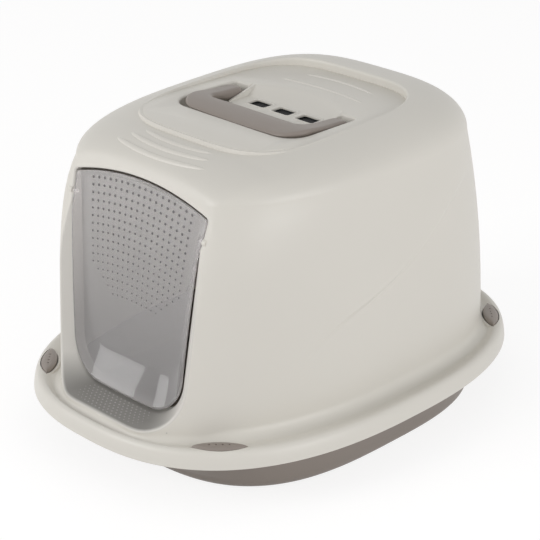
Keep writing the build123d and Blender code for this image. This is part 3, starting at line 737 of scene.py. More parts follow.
# %% The flap's own surface, seen from the side
flap_side = np.array([(-199.0, 320.0), (-206.0, 284.0), (-212.9, 233.0), (-218.3, 183.0), (-225.5, 80.0)])
flap_curve = np.polyfit(flap_side[:, 1], flap_side[:, 0], 3)
PLATE, SIDE_BORDER, TOP_BORDER, FOOT_BORDER, FOOT_BOW = 2.2, 12.0, 5.0, 41.0, 4.0
RIM_FORWARD, PLATE_FORWARD = 4.8, -3.4


def on_flap(outline, rise, behind=0.0):
    """Points on the flap: rise 0 is its plate and 1 its rim; behind goes back through the plastic."""
    x, z = outline[:, 0], outline[:, 1]
    low = 1 - ease(z, 100, 210)
    plate = PLATE_FORWARD - 2.4 * low
    rim = RIM_FORWARD + 0.8 * low - 5.4 * ease(z, 262, 306)
    bow = FOOT_BOW * (1 - (x / 85) ** 2) * (1 - ease(z, 90, 170))
    return ring(x, np.polyval(flap_curve, z) - mix(plate, rim, rise) - bow + behind, z)


def border_outline(share):
    """The flap's outline: 0 is where its border meets the plate, and 1 is full size."""
    return shield(-SIDE_BORDER * (1 - share), -TOP_BORDER * (1 - share), -FOOT_BORDER * (1 - share),
                  mix(32, FLAP_BOTTOM_CORNER, share), mix(7, 4, share))


PLATE_MIDDLE = np.array([0.0, 205.0])
PLATE_SHARES = [0.03, 0.2, 0.4, 0.6, 0.8, 0.95]
plate_edge = border_outline(0.0)
plate_outlines = [PLATE_MIDDLE + (plate_edge - PLATE_MIDDLE) * share for share in PLATE_SHARES]
front_faces = [on_flap(border_outline(s), r) for s, r in [
    (1.0, 0.93), (0.985, 0.985), (0.965, 1.0), (0.94, 0.985), (0.9, 0.93), (0.7, 0.7), (0.45, 0.43),
    (0.22, 0.17), (0.12, 0.07), (0.04, 0.01), (0.0, 0.0)]]
front_faces += [on_flap(outline, 0.0) for outline in plate_outlines[::-1]]
back_faces = [on_flap(outline, 0.0, PLATE) for outline in plate_outlines]
back_faces += [on_flap(border_outline(s), r, PLATE) for s, r in [
    (0.0, 0.0), (0.08, 0.01), (0.2, 0.08), (0.3, 0.19), (0.5, 0.42), (0.75, 0.7), (0.96, 0.92), (0.99, 0.97),
    (1.0, 1.05)]]
flap = grow_skin("flap", back_faces + front_faces)
smooth(flap, 40)
smooth(mouth_funnel, 40)
print("flap:", len(flap.data.polygons), "faces")

# %% The pins that hang it, and their bosses on the hood
PIN_Y, PIN_Z, PIN_RADIUS, BOSS_RADIUS = -207.0, 283.5, 2.15, 3.7


def round_bar(name, centre, radius, start, end, blend=0.4, points=24):
    """A round bar along X with softened ends; centre is its y and z."""
    angles = np.arange(points) * 2 * np.pi / points
    step = math.copysign(blend, end - start)
    rings = [ring(x, centre[0] + r * np.cos(angles), centre[1] + r * np.sin(angles)) for x, r in [
        (start, radius - blend), (start + step * 0.3, radius - blend * 0.3), (start + step, radius),
        (end - step, radius), (end - step * 0.3, radius - blend * 0.3), (end, radius - blend)]]
    return grow_skin(name, rings)


flap_pins, flap_bosses, hinge = [], [], (PIN_Y, PIN_Z)
for word, side in SIDES.items():
    flap_pins.append(round_bar(f"flap_pin_{word}", hinge, PIN_RADIUS, side * 96.5, side * 105.6))
    flap_bosses.append(round_bar(f"flap_boss_{word}", hinge, BOSS_RADIUS, side * 102.6, side * 107.0))
for piece in flap_pins + flap_bosses:
    smooth(piece, 50)

# %% [markdown]
# The upper half of the plate carries a grid of small domes that thin out downwards. One dome is modelled and
# copied. Each copy has few faces, because there are more than two hundred of them.

# %% One dome, copied over the plate
def small_dome(radius, height):
    """A dome of few faces at the origin, standing along +Z."""
    clear_selection()
    bpy.ops.mesh.primitive_circle_add(vertices=10, radius=radius * MM, fill_type="NGON")
    dome = bpy.context.object
    bpy.ops.object.mode_set(mode="EDIT")
    bpy.ops.mesh.select_all(action="SELECT")
    for scale, rise in ((0.96, 0.3), (0.72, 0.42), (0.3, 0.28)):
        bpy.ops.mesh.extrude_region_move(TRANSFORM_OT_translate={"value": (0, 0, rise * height * MM)})
        bpy.ops.transform.resize(value=(scale, scale, 1))
    bpy.ops.mesh.select_all(action="SELECT")
    bpy.ops.mesh.normals_make_consistent(inside=False)
    bpy.ops.object.mode_set(mode="OBJECT")
    return dome


def copy_of(model, name, move):
    """A copy of a model with a mesh of its own, moved by a matrix."""
    copy = bpy.data.objects.new(name, model.data.copy())
    bpy.context.scene.collection.objects.link(copy)
    copy.data.transform(move)
    return copy


def scatter(name, model, places, normals, sizes):
    """Copies of a small model at many places, standing along the normals, joined into one piece."""
    copies = []
    for place, normal, size in zip(places, normals, sizes):
        turn = Vector(normal).to_track_quat("Z", "Y").to_matrix().to_4x4()
        move = Matrix.Translation(Vector(place) * MM) @ turn @ Matrix.Diagonal((size, size, size, 1))
        copies.append(copy_of(model, name, move))
    bpy.data.objects.remove(model)
    clear_selection()
    for copy in copies:
        copy.select_set(True)
    bpy.context.view_layer.objects.active = copies[0]
    bpy.ops.object.join()
    piece = bpy.context.object
    piece.name = piece.data.name = name
    return piece


DOT_COLUMNS, DOT_ROWS, DOT_PITCH, DOT_DROP = 18, 16, 9.09, 8.3
DOT_TOP, DOT_ARCH, DOT_FULL_Z = 310.5, 7.1, 303
dot_places = []
for column in range(DOT_COLUMNS):
    top_x = (column - (DOT_COLUMNS - 1) / 2) * DOT_PITCH
    rows = DOT_ROWS - max(0, math.ceil((abs(top_x) - 42) / DOT_PITCH))
    for row in range(rows):
        z = DOT_TOP - DOT_ARCH * (top_x / 77.3) ** 2 - DOT_DROP * row
        dot_places.append((top_x * (1 - 0.0013 * (DOT_FULL_Z - z)), z))
dot_places = np.array(dot_places)
dot_spots = on_flap(dot_places, 0.0, 0.15)
dot_sizes = 1.0 - 0.45 * np.clip((DOT_FULL_Z - dot_places[:, 1]) / 115, 0, 1)
dot_normals = np.tile((0.0, -1.0, 0.09), (len(dot_spots), 1))
flap_dots = scatter("flap_dots", small_dome(1.7, 1.0), dot_spots, dot_normals, dot_sizes)
smooth(flap_dots, 60)
print("domes on the flap:", len(dot_spots))

# %% The same domes, smaller, roughen the sill
SILL_ROWS, SILL_PITCH = 7, 6.4
sill_places = []
for row in range(SILL_ROWS):
    reach = 96 - 5 * abs(row - 3.2)
    for column in range(-15, 16):
        x = (column + 0.5 * (row % 2)) * SILL_PITCH
        if abs(x) < reach:
            sill_places.append((x, row))
sill_x, sill_row = np.array(sill_places).T
sill_share = (sill_row + 1.0) / (SILL_ROWS + 1)
along_sill = 0.06 + 0.76 * sill_share
sill_near, sill_far = FLAP_BOTTOM_Z - 2 * FLAP_GAP, FLAP_BOTTOM_Z - 2 * FLAP_GAP - FUNNEL_DROP
sill_front, sill_back = lean_y(sill_far, throat_forward + FUNNEL_LENGTH), lean_y(sill_near, throat_forward)
sill_y = mix(sill_back, sill_front, along_sill) + 16.0 * (sill_x / 100) ** 2 * sill_share
sill_spots = ring(sill_x, sill_y, mix(sill_near, sill_far, along_sill) - 0.1)
sill_slope = Vector((0, -math.sin(math.atan2(FUNNEL_DROP, FUNNEL_LENGTH)), 1)).normalized()
sill_dots = scatter("sill_dots", small_dome(1.05, 0.75), sill_spots,
                    np.tile(np.array(sill_slope), (len(sill_spots), 1)), 1.0 - 0.35 * np.abs(sill_x) / 100)
smooth(sill_dots, 60)
print("domes on the sill:", len(sill_spots))

# %% [markdown]
# ## The carry handle
# The handle is a broad U that lies in the well and folds up on two pins. Seen from the side its band is a
# soft wedge: a thin nose in front, a crown behind it, and thick knuckles round the pins. It is made as a
# section that follows the U from one arm's end, round both corners, to the other. Each section runs from
# the outer edge to the inner one, and takes its heights from the side view.

# %% The U's two edges, in step with each other
HANDLE_HALF, HANDLE_FRONT, HANDLE_END, HANDLE_INNER, BAND_BACK = 91.0, -70.0, 17.0, 71.0, -36.0
HINGE_Y, HINGE_Z = 12.0, 347.0


def resample(points, count):
    points = np.asarray(points, float)
    length = np.concatenate([[0], np.cumsum(np.linalg.norm(np.diff(points, axis=0), axis=1))])
    wanted = np.linspace(0, length[-1], count)
    return np.stack([np.interp(wanted, length, points[:, axis]) for axis in (0, 1)], axis=1)


def handle_edge(half, front, corner_radius, counts, bow):
    """Half of one edge of the U, from the middle of the band to the end of the right arm."""
    corner = rounded_corner((0, front), (half, front), (half, HANDLE_END), corner_radius, 24)
    band = resample([(0, front), corner[0]], counts[0])
    band[:, 1] -= bow * (1 - (band[:, 0] / corner[0][0]) ** 2)
    arm = resample([corner[-1], (half, HANDLE_END)], counts[2])
    return np.concatenate([band[:-1], resample(corner, counts[1])[:-1], arm])


COUNTS = (26, 16, 18)
outer_half = handle_edge(HANDLE_HALF, HANDLE_FRONT + 1.5, 30.0, COUNTS, 1.5)
inner_half = handle_edge(HANDLE_INNER, BAND_BACK, 12.0, COUNTS, -1.0)
outer_edge = np.concatenate([outer_half[:0:-1] * (-1, 1), outer_half])
inner_edge = np.concatenate([inner_half[:0:-1] * (-1, 1), inner_half])

# %% Its heights from the side, and the skin
HANDLE_TOP = np.array([(-70, 354.2), (-63, 356.4), (-54, 358.1), (-43, 358.6), (-30, 357.6), (-12, 355.7),
                       (6, 354.6), (14, 354.2), (20, 352.6)])
HANDLE_UNDER = np.array([(-70, 350.4), (-63, 350.2), (-54, 350.6), (-43, 350.6), (-30, 349.6), (-12, 346.0),
                         (6, 340.4), (14, 339.8), (20, 341.6)])
top_curve = np.polyfit(HANDLE_TOP[:, 0], HANDLE_TOP[:, 1], 5)
under_curve = np.polyfit(HANDLE_UNDER[:, 0], HANDLE_UNDER[:, 1], 5)
EDGE_ROUND = 4.2


def handle_section(outer, inner, squeeze):
    """One closed section; squeeze pulls it in all round, for the rounded ends of the arms."""
    width = np.linalg.norm(outer - inner)
    turn = EDGE_ROUND * (1 - np.cos(np.linspace(0, np.pi / 2, 7)))
    across = np.concatenate([turn, np.linspace(EDGE_ROUND, width - EDGE_ROUND, 7)[1:-1], width - turn[::-1]])
    loop = []
    for side in (1, -1):
        for distance in across[::side][:-1]:
            point = mix(outer, inner, distance / width)
            point = mix(point, (outer + inner) / 2, squeeze * 0.45)
            from_edge = min(distance, width - distance, EDGE_ROUND)
            full = math.sqrt(max(EDGE_ROUND ** 2 - (EDGE_ROUND - from_edge) ** 2, 0)) / EDGE_ROUND
            top, under = np.polyval(top_curve, point[1]), np.polyval(under_curve, point[1])
            middle, half = (top + under) / 2, (top - under) / 2 * (1 - 0.45 * squeeze)
            loop.append((point[0], point[1], middle + side * half * full))
    return np.array(loop)


def handle_caps(end):
    """The rounded end of an arm, outwards from its last section; end is 0 or -1."""
    return [handle_section(outer_edge[end], inner_edge[end], squeeze) + (0, past, 0)
            for squeeze, past in ((0.25, 0.8), (0.6, 1.3), (1.0, 1.5))]


band_sections = [handle_section(outer, inner, 0.0) for outer, inner in zip(outer_edge, inner_edge)]
handle = grow_skin("handle", handle_caps(0)[::-1] + band_sections + handle_caps(-1))
smooth(handle, 45)
hinge, pin_radius = (HINGE_Y, HINGE_Z), 2.45
handle_pins = [round_bar(f"handle_pin_{word}", hinge, pin_radius, side * 88.0, side * 95.8)
               for word, side in SIDES.items()]
for piece in handle_pins:
    smooth(piece, 50)
handle_top = max(point.co.z for point in handle.data.vertices)
print("handle:", len(handle.data.polygons), "faces, top at", round(handle_top, 4))

# %% [markdown]
# ## The rim clips
# Four clips hold the hood on the tray. Each is a lens-shaped head in a pocket of the rim, with a leg and a
# hook under it, and it rocks on two small pins. The four are alike, so one is made at the origin, with its
# length along Y and its outer side towards +X, and copied to each corner of the rim, each copy turned to
# face out.

# %% One clip at the origin
CLIP_LENGTH, CLIP_WIDTH, CLIP_PIN_Z, CLIP_PIN_RADIUS = 58.0, 16.0, 68.6, 1.15
CLIP_X, CLIP_Y = 139.65, 224.24
CLIP_SPOTS = {"front_left": (-CLIP_X, -CLIP_Y), "front_right": (CLIP_X, -CLIP_Y),
              "rear_left": (-CLIP_X, CLIP_Y), "rear_right": (CLIP_X, CLIP_Y)}


def lens_outline(grow, count=32):
    """A pointed oval along Y with softened tips, grown by grow."""
    along = np.linspace(0, 2 * np.pi, 2 * count, endpoint=False)
    half_length, half_width = CLIP_LENGTH / 2 + grow, CLIP_WIDTH / 2 + grow
    y = half_length * np.sin(along)
    x = half_width * np.sign(np.cos(along)) * (1 - (np.abs(y) / half_length) ** 2.0) ** 0.82
    blunt = 0.9 * np.sqrt(np.clip(1 - (np.abs(y) / half_length) ** 8, 0, 1)) * np.sign(np.cos(along))
    return np.stack([x + blunt, y], axis=1)


clip = grow_skin("clip_head", stack(lens_outline, [
    (-3.0, 66.9), (-0.8, 66.9), (-0.2, 67.2), (0, 67.8), (0, 69.6), (-0.25, 70.3), (-0.8, 70.8), (-1.6, 71.2),
    (-2.8, 71.7), (-4.2, 72.1), (-5.6, 72.35), (-6.8, 72.45)]))
leg_side = np.array([
    (3.6, 67.5), (3.6, 54.0), (3.3, 53.2), (2.2, 52.6), (2.2, 51.4), (3.9, 50.2), (5.6, 50.0), (6.5, 50.6),
    (6.5, 67.5)])
join_to(clip, grow_skin("clip_leg", [ring(leg_side[:, 0], y, leg_side[:, 1]) for y in (-10, -9.4, 9.4, 10)]))
turn = np.arange(16) * 2 * np.pi / 16
pin_x, pin_z = CLIP_PIN_RADIUS * np.cos(turn), CLIP_PIN_Z - 0.2 + CLIP_PIN_RADIUS * np.sin(turn)
join_to(clip, grow_skin("clip_pins", [ring(pin_x, y, pin_z) for y in (-32.2, -20, 20, 32.2)]))
for y in (-10.5, -3.5, 3.5, 10.5):
    dimple = [ring(r * np.cos(turn), y + r * np.sin(turn), z)
              for r, z in ((0.75, 71.3), (1.05, 71.7), (1.2, 73.5))]
    cut(clip, grow_skin("dimple", dimple))
smooth(clip, 32)
print("one clip:", len(clip.data.polygons), "faces")

# %% Its seat on the rim, and what is cut out for it: the same lens, a little larger, and the leg's slot
SEAT_LEVELS = [(4.0, 63.4), (4.0, 66.4), (3.6, 67.3), (2.9, 67.9), (2.2, 68.1)]
POCKET_LEVELS = [(0.9, 64.4), (0.9, 67.4), (1.1, 68.3), (1.1, 76.0)]
slot_outline = rectangle((1.2, 9.2), (-10.8, 10.8), 0.6)


def turned_to(spot):
    """The matrix that puts a clip, and what belongs to it, at its spot on the rim and turns it outwards."""
    angle = math.atan2(math.copysign(1, spot[1]), math.copysign(1, spot[0]))
    return Matrix.Translation((spot[0] * MM, spot[1] * MM, 0)) @ Matrix.Rotation(angle, 4, "Z")


clips, clip_seats = {}, {}
for word, spot in CLIP_SPOTS.items():
    place = turned_to(spot)
    seat = clip_seats[word] = grow_skin(f"clip_seat_{word}", stack(lens_outline, SEAT_LEVELS))
    seat.data.transform(place)
    for piece in (seat, hood_shell):
        for cutter in (grow_skin("pocket", stack(lens_outline, POCKET_LEVELS)),
                       straight_block("slot", slot_outline, 58.0, 70.0)):
            cutter.data.transform(place)
            cut(piece, cutter)
    smooth(seat, 35)
    clips[word] = copy_of(clip, f"clip_{word}", place)
    clips[word].data.name = clips[word].name
bpy.data.objects.remove(clip)
smooth(hood_shell, 32)
print("clips:", sorted(clips))

# %% [markdown]
# ## The tray
# The tray is one thin dished moulding with a rolled rim that the hood stands on. Its outlines go from the
# middle of the underside, up the outside, over the rolled rim and down the inside to the litter floor, so
# the skin closes on itself and the wall has its real thickness. The foot and the rim are turned over in
# several small steps, because those curves carry the highlights that show under the hood.

# %% Outlines of the tray
FLANGE_HALF, FLANGE_LONG, FLANGE_TOP, FLANGE_WIDTH = 202.5, 275.0, 62.7, 12.0
FOOT_HALF, FOOT_LONG, FOOT_ROUND, TRAY_WALL = 185.0, 220.0, 10.0, 2.5
FOOT_POWER, FLANGE_POWER = 3.0, 2.5


def tray_wall(z, inset):
    """The tray's wall at a height: it widens from the foot to the flange and grows less square."""
    share = np.clip((z - FOOT_ROUND) / (FLANGE_TOP - FOOT_ROUND), 0, 1)
    low, high = oval(1, 1, 1, FOOT_POWER, FOOT_POWER), oval(1, 1, 1, FLANGE_POWER, FLANGE_POWER)
    wide = mix(FOOT_HALF, FLANGE_HALF - FLANGE_WIDTH, share) - inset
    long = mix(FOOT_LONG, FLANGE_LONG - FLANGE_WIDTH, share) - inset
    return ring(mix(low[0], high[0], share) * wide, mix(low[1], high[1], share) * long, z)


def drawn_in_oval(half, long, inset, power, z):
    x, y = oval(half - inset, long - inset, long - inset, power, power)
    return ring(x, y, z)


def tray_foot(angle, inset):
    """The rounded turn between floor and wall; the angle goes from 0 on the floor to 90 on the wall."""
    angle, radius = math.radians(angle), FOOT_ROUND - inset
    drawn_in = radius * (1 - math.sin(angle)) + inset
    return drawn_in_oval(FOOT_HALF, FOOT_LONG, drawn_in, FOOT_POWER, FOOT_ROUND - radius * math.cos(angle))


FOOT_ANGLES = (0, 15, 30, 45, 60, 75)


outside = [tray_foot(angle, 0.0) for angle in FOOT_ANGLES]
outside += [tray_wall(z, 0.0) for z in (10, 14, 20, 28, 36, 44, 50, 54, 57)]
outside += [drawn_in_oval(FLANGE_HALF, FLANGE_LONG, inset, FLANGE_POWER, z) for inset, z in [
    (11.4, 58.6), (10.4, 59.6), (9.0, 60.1), (7.0, 60.2), (4.0, 60.2), (3.2, 60.0), (2.7, 59.4), (2.5, 58.5),
    (2.5, 53.4), (2.3, 52.8), (1.6, 52.6), (0.7, 52.7), (0.1, 53.1), (0.0, 53.8), (0.0, 60.4), (0.2, 61.3),
    (0.7, 62.1), (1.5, 62.6), (2.4, 62.7), (10.5, 62.7), (12.0, 62.5), (13.2, 62.0), (14.0, 61.2)]]
inside = [tray_wall(z, TRAY_WALL) for z in (59.5, 54, 44, 32, 20, 10)]
inside += [tray_foot(angle, TRAY_WALL) for angle in FOOT_ANGLES[::-1]]
tray_skin = grow_skin("tray_shell", outside + inside)
smooth(tray_skin, 40)
print("tray:", len(tray_skin.data.polygons), "faces")

# %% [markdown]
# ## Finishes
# Everything is moulded plastic with a satin face. A close look at such plastic shows a very fine spark
# grain from the mould, slow clouds in the colour where the melt ran, and dust that settles on what faces up.
# Convex edges get a painted highlight: their colour is made a little lighter. Each of these is a small node
# group that works in the object's own coordinates, so it holds still when a part moves, and every plastic
# uses them with its own values. The shader stays in the material.

# %% Nodes, and groups with named ways in and out
MID_GREY = (0.5, 0.5, 0.5, 1)


def feed(tree, node, inputs):
    """Give a node's inputs numbers, colours or the sockets of other nodes."""
    for name, value in inputs.items():
        if isinstance(value, bpy.types.NodeSocket):
            tree.links.new(value, node.inputs[name])
        else:
            node.inputs[name].default_value = value


def add_node(tree, kind, inputs=None, **settings):
    node = tree.nodes.new(f"ShaderNode{kind}")
    for name, value in settings.items():
        setattr(node, name, value)
    feed(tree, node, inputs or {})
    return node


def effect_group(name, ways_in, ways_out):
    """An empty group: ways_in gives each input its first value, and ways_out lists the outputs."""
    group = bpy.data.node_groups.new(name, "ShaderNodeTree")
    for label, value in ways_in.items():
        kind = "NodeSocketColor" if isinstance(value, tuple) else "NodeSocketFloat"
        group.interface.new_socket(label, in_out="INPUT", socket_type=kind).default_value = value
    for label in ways_out:
        kind = "NodeSocketColor" if label == "Color" else "NodeSocketFloat"
        group.interface.new_socket(label, in_out="OUTPUT", socket_type=kind)
    return group, group.nodes.new("NodeGroupInput").outputs, group.nodes.new("NodeGroupOutput")


def math_node(tree, operation, *values, clamp=False):
    """A Math node's result, from numbers or sockets."""
    return add_node(tree, "Math", dict(enumerate(values)), operation=operation, use_clamp=clamp).outputs[0]


def swing(tree, value, middle, reach):
    """A value that swings about a half, made to swing about middle by reach."""
    return math_node(tree, "MULTIPLY_ADD", math_node(tree, "SUBTRACT", value, 0.5), reach, middle)


def spread(tree, value, low, high, at_low=0.0):
    """A value spread out, so that it gives at_low at low and one at high."""
    return add_node(tree, "MapRange", {"Value": value, "From Min": low, "From Max": high,
                                       "To Min": at_low}).outputs[0]


def spread_height(tree, vector, low, high, at_low=0.0):
    return spread(tree, add_node(tree, "SeparateXYZ", {0: vector}).outputs["Z"], low, high, at_low)


def facing_up(tree, low, high):
    """A mask of what faces up, from the height of its normal."""
    return spread_height(tree, add_node(tree, "NewGeometry").outputs["Normal"], low, high)


def own_place(tree):
    return add_node(tree, "TexCoord").outputs["Object"]


def noise(tree, scale, detail=2.0, roughness=0.5):
    """Noise in the object's own coordinates; the scale is in waves per metre."""
    return add_node(tree, "TexNoise", {"Vector": own_place(tree), "Scale": scale, "Detail": detail,
                                       "Roughness": roughness}).outputs["Fac"]


def shade_colour(tree, colour, factor):
    """A colour made lighter or darker by a factor."""
    return add_node(tree, "VectorMath", {0: colour, "Scale": factor}, operation="SCALE").outputs[0]


# %% Mould grain: fine bumps, slow clouds in colour and gloss
grain, asked, given = effect_group(
    "mould_grain", {"Color": MID_GREY, "Clouds": 0.03, "Gloss": 0.4, "Gloss Spread": 0.06},
    ("Color", "Roughness", "Height"))
fine, flow = noise(grain, 1500.0, 2.0, 0.6), noise(grain, 60.0, 4.0, 0.55)
cloud_shade = swing(grain, noise(grain, 7.0, 3.0), 1.0, asked["Clouds"])
clouded = math_node(grain, "MULTIPLY", cloud_shade, swing(grain, fine, 1.0, 0.02))
feed(grain, given, {
    "Color": shade_colour(grain, asked["Color"], clouded),
    "Roughness": swing(grain, flow, asked["Gloss"], asked["Gloss Spread"]),
    "Height": math_node(grain, "MULTIPLY_ADD", flow, 0.35, fine),
})

# %% Painted highlight: a mask of the convex edges, made lighter in colour and broken up so that it isn't a drawn line
highlight_group, asked, given = effect_group("painted_edge_highlight", {"Color": MID_GREY, "Lighten": 0.1}, ("Color",))
edges = spread(highlight_group, add_node(highlight_group, "NewGeometry").outputs["Pointiness"], 0.515, 0.6)
broken = math_node(highlight_group, "MULTIPLY_ADD", noise(highlight_group, 90.0, 3.0), 0.7, 0.6, clamp=True)
edge_mask = math_node(highlight_group, "MULTIPLY", edges, broken, clamp=True)
lightened = math_node(highlight_group, "MULTIPLY_ADD", edge_mask, asked["Lighten"], 1.0)
feed(highlight_group, given, {"Color": shade_colour(highlight_group, asked["Color"], lightened)})

# %% Settled dust: only where the surface faces up
dust, asked, given = effect_group(
    "settled_dust", {"Color": MID_GREY, "Dust Color": (0.62, 0.6, 0.56, 1), "Roughness": 0.4, "Amount": 0.1},
    ("Color", "Roughness"))
patches = math_node(dust, "MULTIPLY_ADD", noise(dust, 22.0, 5.0, 0.65), 1.4, -0.2, clamp=True)
settled = math_node(dust, "MULTIPLY", math_node(dust, "MULTIPLY", facing_up(dust, 0.35, 1.0), patches),
                    asked["Amount"], clamp=True)
dusty = add_node(dust, "Mix", {0: settled, 6: asked["Color"], 7: asked["Dust Color"]}, data_type="RGBA")
feed(dust, given, {"Color": dusty.outputs[2],
                   "Roughness": math_node(dust, "MULTIPLY_ADD", settled, 0.4, asked["Roughness"])})

# %% Painted shade on the sill: darker where the funnel's floor faces up
sill_shade_group, asked, given = effect_group("painted_sill_shade", {"Color": MID_GREY, "Darken": 0.62}, ("Color",))
darkened = math_node(sill_shade_group, "MULTIPLY", facing_up(sill_shade_group, 0.45, 0.985), asked["Darken"])
left_over = math_node(sill_shade_group, "SUBTRACT", 1.0, darkened)
feed(sill_shade_group, given, {"Color": shade_colour(sill_shade_group, asked["Color"], left_over)})

# %% Painted shade in the clear plastic, darker towards the foot of the flap
painted_foot_shade, asked, given = effect_group("painted_foot_shade", {"Color": MID_GREY, "Foot Shade": 0.68}, ("Color",))
shade_factor = spread_height(painted_foot_shade, own_place(painted_foot_shade), 0.1, 0.29, asked["Foot Shade"])
feed(painted_foot_shade, given, {"Color": shade_colour(painted_foot_shade, asked["Color"], shade_factor)})

# %% [markdown]
# Each opaque plastic strings the effects together: grain, then the painted edge highlight, then dust, and on
# the sill the painted shade, with a bump from the grain's height. What is the same all over, such as its
# refractive index, is set on the shader itself.

# %% The opaque plastics
PLASTIC_IOR, GRAIN_BUMP, GRAIN_HEIGHT = 1.49, 0.08, 0.00012


def new_finish(name, colour=(0.8, 0.8, 0.8), alpha=1.0):
    """A new material with its node tree and its shader; colour and alpha are for the plain view."""
    finish = bpy.data.materials.new(name)
    finish.use_nodes = True
    finish.diffuse_color = (*colour, alpha)
    return finish, finish.node_tree, finish.node_tree.nodes["Principled BSDF"]


def use_group(tree, group, **inputs):
    inputs = {name.replace("_", " "): value for name, value in inputs.items()}
    return add_node(tree, "Group", inputs, node_tree=group).outputs


def moulded_plastic(name, colour, gloss, clouds=0.03, edge_highlight=0.08, dust_amount=0.1, sill_shade=False):
    finish, tree, shader = new_finish(name, colour)
    graining = use_group(tree, grain, Color=(*colour, 1), Clouds=clouds, Gloss=gloss)
    # Painted highlight: convex edges are made lighter in colour.
    highlighting = use_group(tree, highlight_group, Color=graining["Color"], Lighten=edge_highlight)
    dusting = use_group(tree, dust, Color=highlighting["Color"], Roughness=graining["Roughness"],
                        Amount=dust_amount)
    # On the sill, painted shade darkens the colour where the surface faces up.
    final = use_group(tree, sill_shade_group, Color=dusting["Color"]) if sill_shade else dusting
    relief = add_node(tree, "Bump", {"Strength": GRAIN_BUMP, "Distance": GRAIN_HEIGHT,
                                     "Height": graining["Height"]})
    feed(tree, shader, {"IOR": PLASTIC_IOR, "Base Color": final["Color"], "Roughness": dusting["Roughness"],
                        "Normal": relief.outputs["Normal"]})
    return finish


warm_grey = moulded_plastic("warm_grey_plastic", (0.70, 0.675, 0.62), 0.40)
# Painted shade: the sill's copy of the warm grey is darker, and its floor is darkened more where it faces up.
shaded_sill_grey = moulded_plastic("sill_grey_painted_shade", (0.66, 0.637, 0.595), 0.45, sill_shade=True)
# Painted shade: the sill's domes are a dark copy of the hood's grey.
shaded_sill_dot_grey = moulded_plastic("sill_dot_painted_shade", (0.36, 0.345, 0.335), 0.45)
taupe = moulded_plastic("taupe_plastic", (0.27, 0.232, 0.205), 0.40, clouds=0.05, edge_highlight=0.18,
                        dust_amount=0.06)
# Painted shade: the tray's taupe is a darker copy of the handle's taupe, for the shade under the hood's rim.
shaded_tray_taupe = moulded_plastic("tray_taupe_painted_shade_plastic", (0.25, 0.216, 0.19), 0.46, clouds=0.05, edge_highlight=0.15)

# %% The clear plastics of the flap and its domes
def clear_plastic(name, colour, gloss, clear):
    """Smoky clear plastic: real refraction for what is seen, and a tinted shadow so that light gets in."""
    finish, tree, shader = new_finish(name, colour, 0.35)
    graining = use_group(tree, grain, Color=(*colour, 1), Clouds=0.02, Gloss=gloss, Gloss_Spread=0.02)
    # Painted shade: the colour grows darker towards the foot of the flap.
    foot_shaded = use_group(tree, painted_foot_shade, Color=graining["Color"])
    feed(tree, shader, {"Transmission Weight": clear, "IOR": PLASTIC_IOR, "Base Color": foot_shaded["Color"],
                        "Roughness": graining["Roughness"]})
    tinted = add_node(tree, "BsdfTransparent", {"Color": (0.97, 0.965, 0.96, 1)})
    in_shadow = add_node(tree, "LightPath").outputs["Is Shadow Ray"]
    blend = add_node(tree, "MixShader", {0: in_shadow, 1: shader.outputs[0], 2: tinted.outputs[0]})
    feed(tree, tree.nodes["Material Output"], {"Surface": blend.outputs[0]})
    return finish


clear_smoke = clear_plastic("clear_smoky_plastic", (0.95, 0.925, 0.92), 0.03, 0.8)
# Painted shade: the flap's domes are a dark, less clear copy of the flap's plastic, so that they read as dark
# spots.
shaded_clear_dots = clear_plastic("clear_dot_painted_shade_plastic", (0.20, 0.19, 0.19), 0.25, 0.35)

# %% The carbon foam
foam, tree, shader = new_finish("black_carbon_foam")
cells = add_node(tree, "TexVoronoi", {"Scale": 700.0, "Vector": own_place(tree)}, feature="F1")
cells = cells.outputs["Distance"]
foam_ramp = add_node(tree, "ValToRGB", {"Fac": cells})
foam_ramp.color_ramp.elements[0].color = (0.006, 0.006, 0.006, 1)
foam_ramp.color_ramp.elements[1].color = (0.05, 0.05, 0.052, 1)
foam_relief = add_node(tree, "Bump", {"Strength": 0.8, "Distance": 0.001, "Height": cells})
feed(tree, shader, {"Roughness": 1.0, "Base Color": foam_ramp.outputs["Color"],
                    "Normal": foam_relief.outputs["Normal"]})

# %% [markdown]
# Now each piece gets its finish and the body that it moves with, and takes over from the plain CAD part.
# The filter and its holder keep their CAD shapes and get finishes only.

# %% Finishes and bodies
def coat(piece, finish):
    piece.data.materials.clear()
    piece.data.materials.append(finish)


def settle(pieces, finish, body):
    for piece in pieces:
        coat(piece, finish)
        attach(piece, body)


settle([mouth_funnel], shaded_sill_grey, "cover")
settle([sill_dots], shaded_sill_dot_grey, "cover")
settle([hood_shell, roof_panel, *vent_frames, *brow_ridges, *back_ridges, *flap_bosses,
        *clip_seats.values(), *rails], warm_grey, "cover")
settle([flap, *flap_pins], clear_smoke, "flap")
settle([flap_dots], shaded_clear_dots, "flap")
settle([handle, *handle_pins], taupe, "handle")
settle([tray_skin], shaded_tray_taupe, "base")
for word, piece in clips.items():
    settle([piece], taupe, f"clip_{word}")
    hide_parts(f"latch_{word}")
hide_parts("hood")
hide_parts("door_flap")
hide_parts("carry_handle")
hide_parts("tray")
for node, finish in (("filter_holder", warm_grey), ("carbon_filter", foam)):
    for piece_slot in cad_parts[node].material_slots:
        piece_slot.material = finish
print("finishes:", sorted(m.name for m in bpy.data.materials if m.users and m.use_nodes))

# %% [markdown]
# ## Floor, light and camera
# The photograph is a studio picture on white: a long lens, a little above the roof, half way round to the
# right of the mouth. The floor is white and keeps the soft shadow.

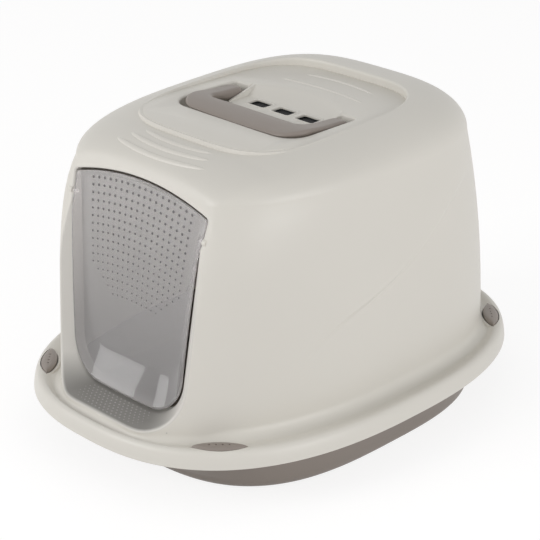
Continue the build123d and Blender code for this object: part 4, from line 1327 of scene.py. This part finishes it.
# %% Camera
CAMERA_AZIMUTH, CAMERA_ELEVATION = math.radians(44.85), math.radians(24.12)
CAMERA_DISTANCE, CAMERA_LENS = 2.1813, 120.51
LOOKED_AT = Vector((-0.07571, 0.06657, 0.110))


def add_at(name, data, place, looking):
    """A camera or lamp at a place, looking along a direction."""
    thing = bpy.data.objects.new(name, data)
    bpy.context.scene.collection.objects.link(thing)
    thing.location = place
    thing.rotation_euler = looking.to_track_quat("-Z", "Y").to_euler()
    return thing


away = Vector((
    math.cos(CAMERA_ELEVATION) * math.sin(CAMERA_AZIMUTH),
    -math.cos(CAMERA_ELEVATION) * math.cos(CAMERA_AZIMUTH),
    math.sin(CAMERA_ELEVATION),
))
camera_data = bpy.data.cameras.new("camera")
camera_data.lens = CAMERA_LENS
bpy.context.scene.camera = add_at("camera", camera_data, LOOKED_AT + away * CAMERA_DISTANCE, -away)

# %% Floor
PAPER_GLOW, PAPER_SHARE = 1.16, 0.70
clear_selection()
bpy.ops.mesh.primitive_circle_add(vertices=64, radius=12, fill_type="NGON")
floor = bpy.context.object
floor.name = "floor"


def seen_directly(tree):
    """One for rays that come from the camera, straight, mirrored or through glass, and else nothing."""
    path = add_node(tree, "LightPath").outputs
    mirrored = math_node(tree, "MAXIMUM", path["Is Glossy Ray"], path["Is Transmission Ray"])
    return math_node(tree, "MAXIMUM", path["Is Camera Ray"], mirrored)


floor_white, tree, shader = new_finish("floor_white")
feed(tree, shader, {"Base Color": (0.9, 0.885, 0.88, 1), "Roughness": 1.0, "Specular IOR Level": 0.0})
paper = add_node(tree, "Emission", {"Strength": PAPER_GLOW})
glow_share = math_node(tree, "MULTIPLY", seen_directly(tree), PAPER_SHARE)
floor_blend = add_node(tree, "MixShader", {0: glow_share, 1: shader.outputs[0], 2: paper.outputs[0]})
feed(tree, tree.nodes["Material Output"], {"Surface": floor_blend.outputs[0]})
coat(floor, floor_white)

# %% Light
def soft_lamp(name, place, aim, size, power):
    data = bpy.data.lights.new(name, "AREA")
    data.shape = "RECTANGLE"
    data.size, data.size_y = size
    data.energy = power
    add_at(name, data, place, Vector(aim) - Vector(place))


soft_lamp("front_box", (-1.1, -2.9, 1.7), (0, 0, 0.2), (1.6, 1.4), 38)
soft_lamp("left_box", (-2.28, -2.36, 0.66), (0, 0, 0.3), (0.72, 1.28), 6)
soft_lamp("right_box", (2.9, 0.1, 0.75), (0, 0, 0.2), (1.8, 1.4), 27)

WORLD_LIGHT = 0.5
world = bpy.data.worlds.new("studio")
bpy.context.scene.world = world
world.use_nodes = True
world_strength = math_node(world.node_tree, "MULTIPLY_ADD", seen_directly(world.node_tree),
                           1 - WORLD_LIGHT, WORLD_LIGHT)
feed(world.node_tree, world.node_tree.nodes["Background"],
     {"Color": (1, 1, 1, 1), "Strength": world_strength})
bpy.context.scene.view_settings.view_transform = "Standard"
print("camera", round(CAMERA_DISTANCE, 2), "m away, with", len(bpy.data.lights), "lamps")
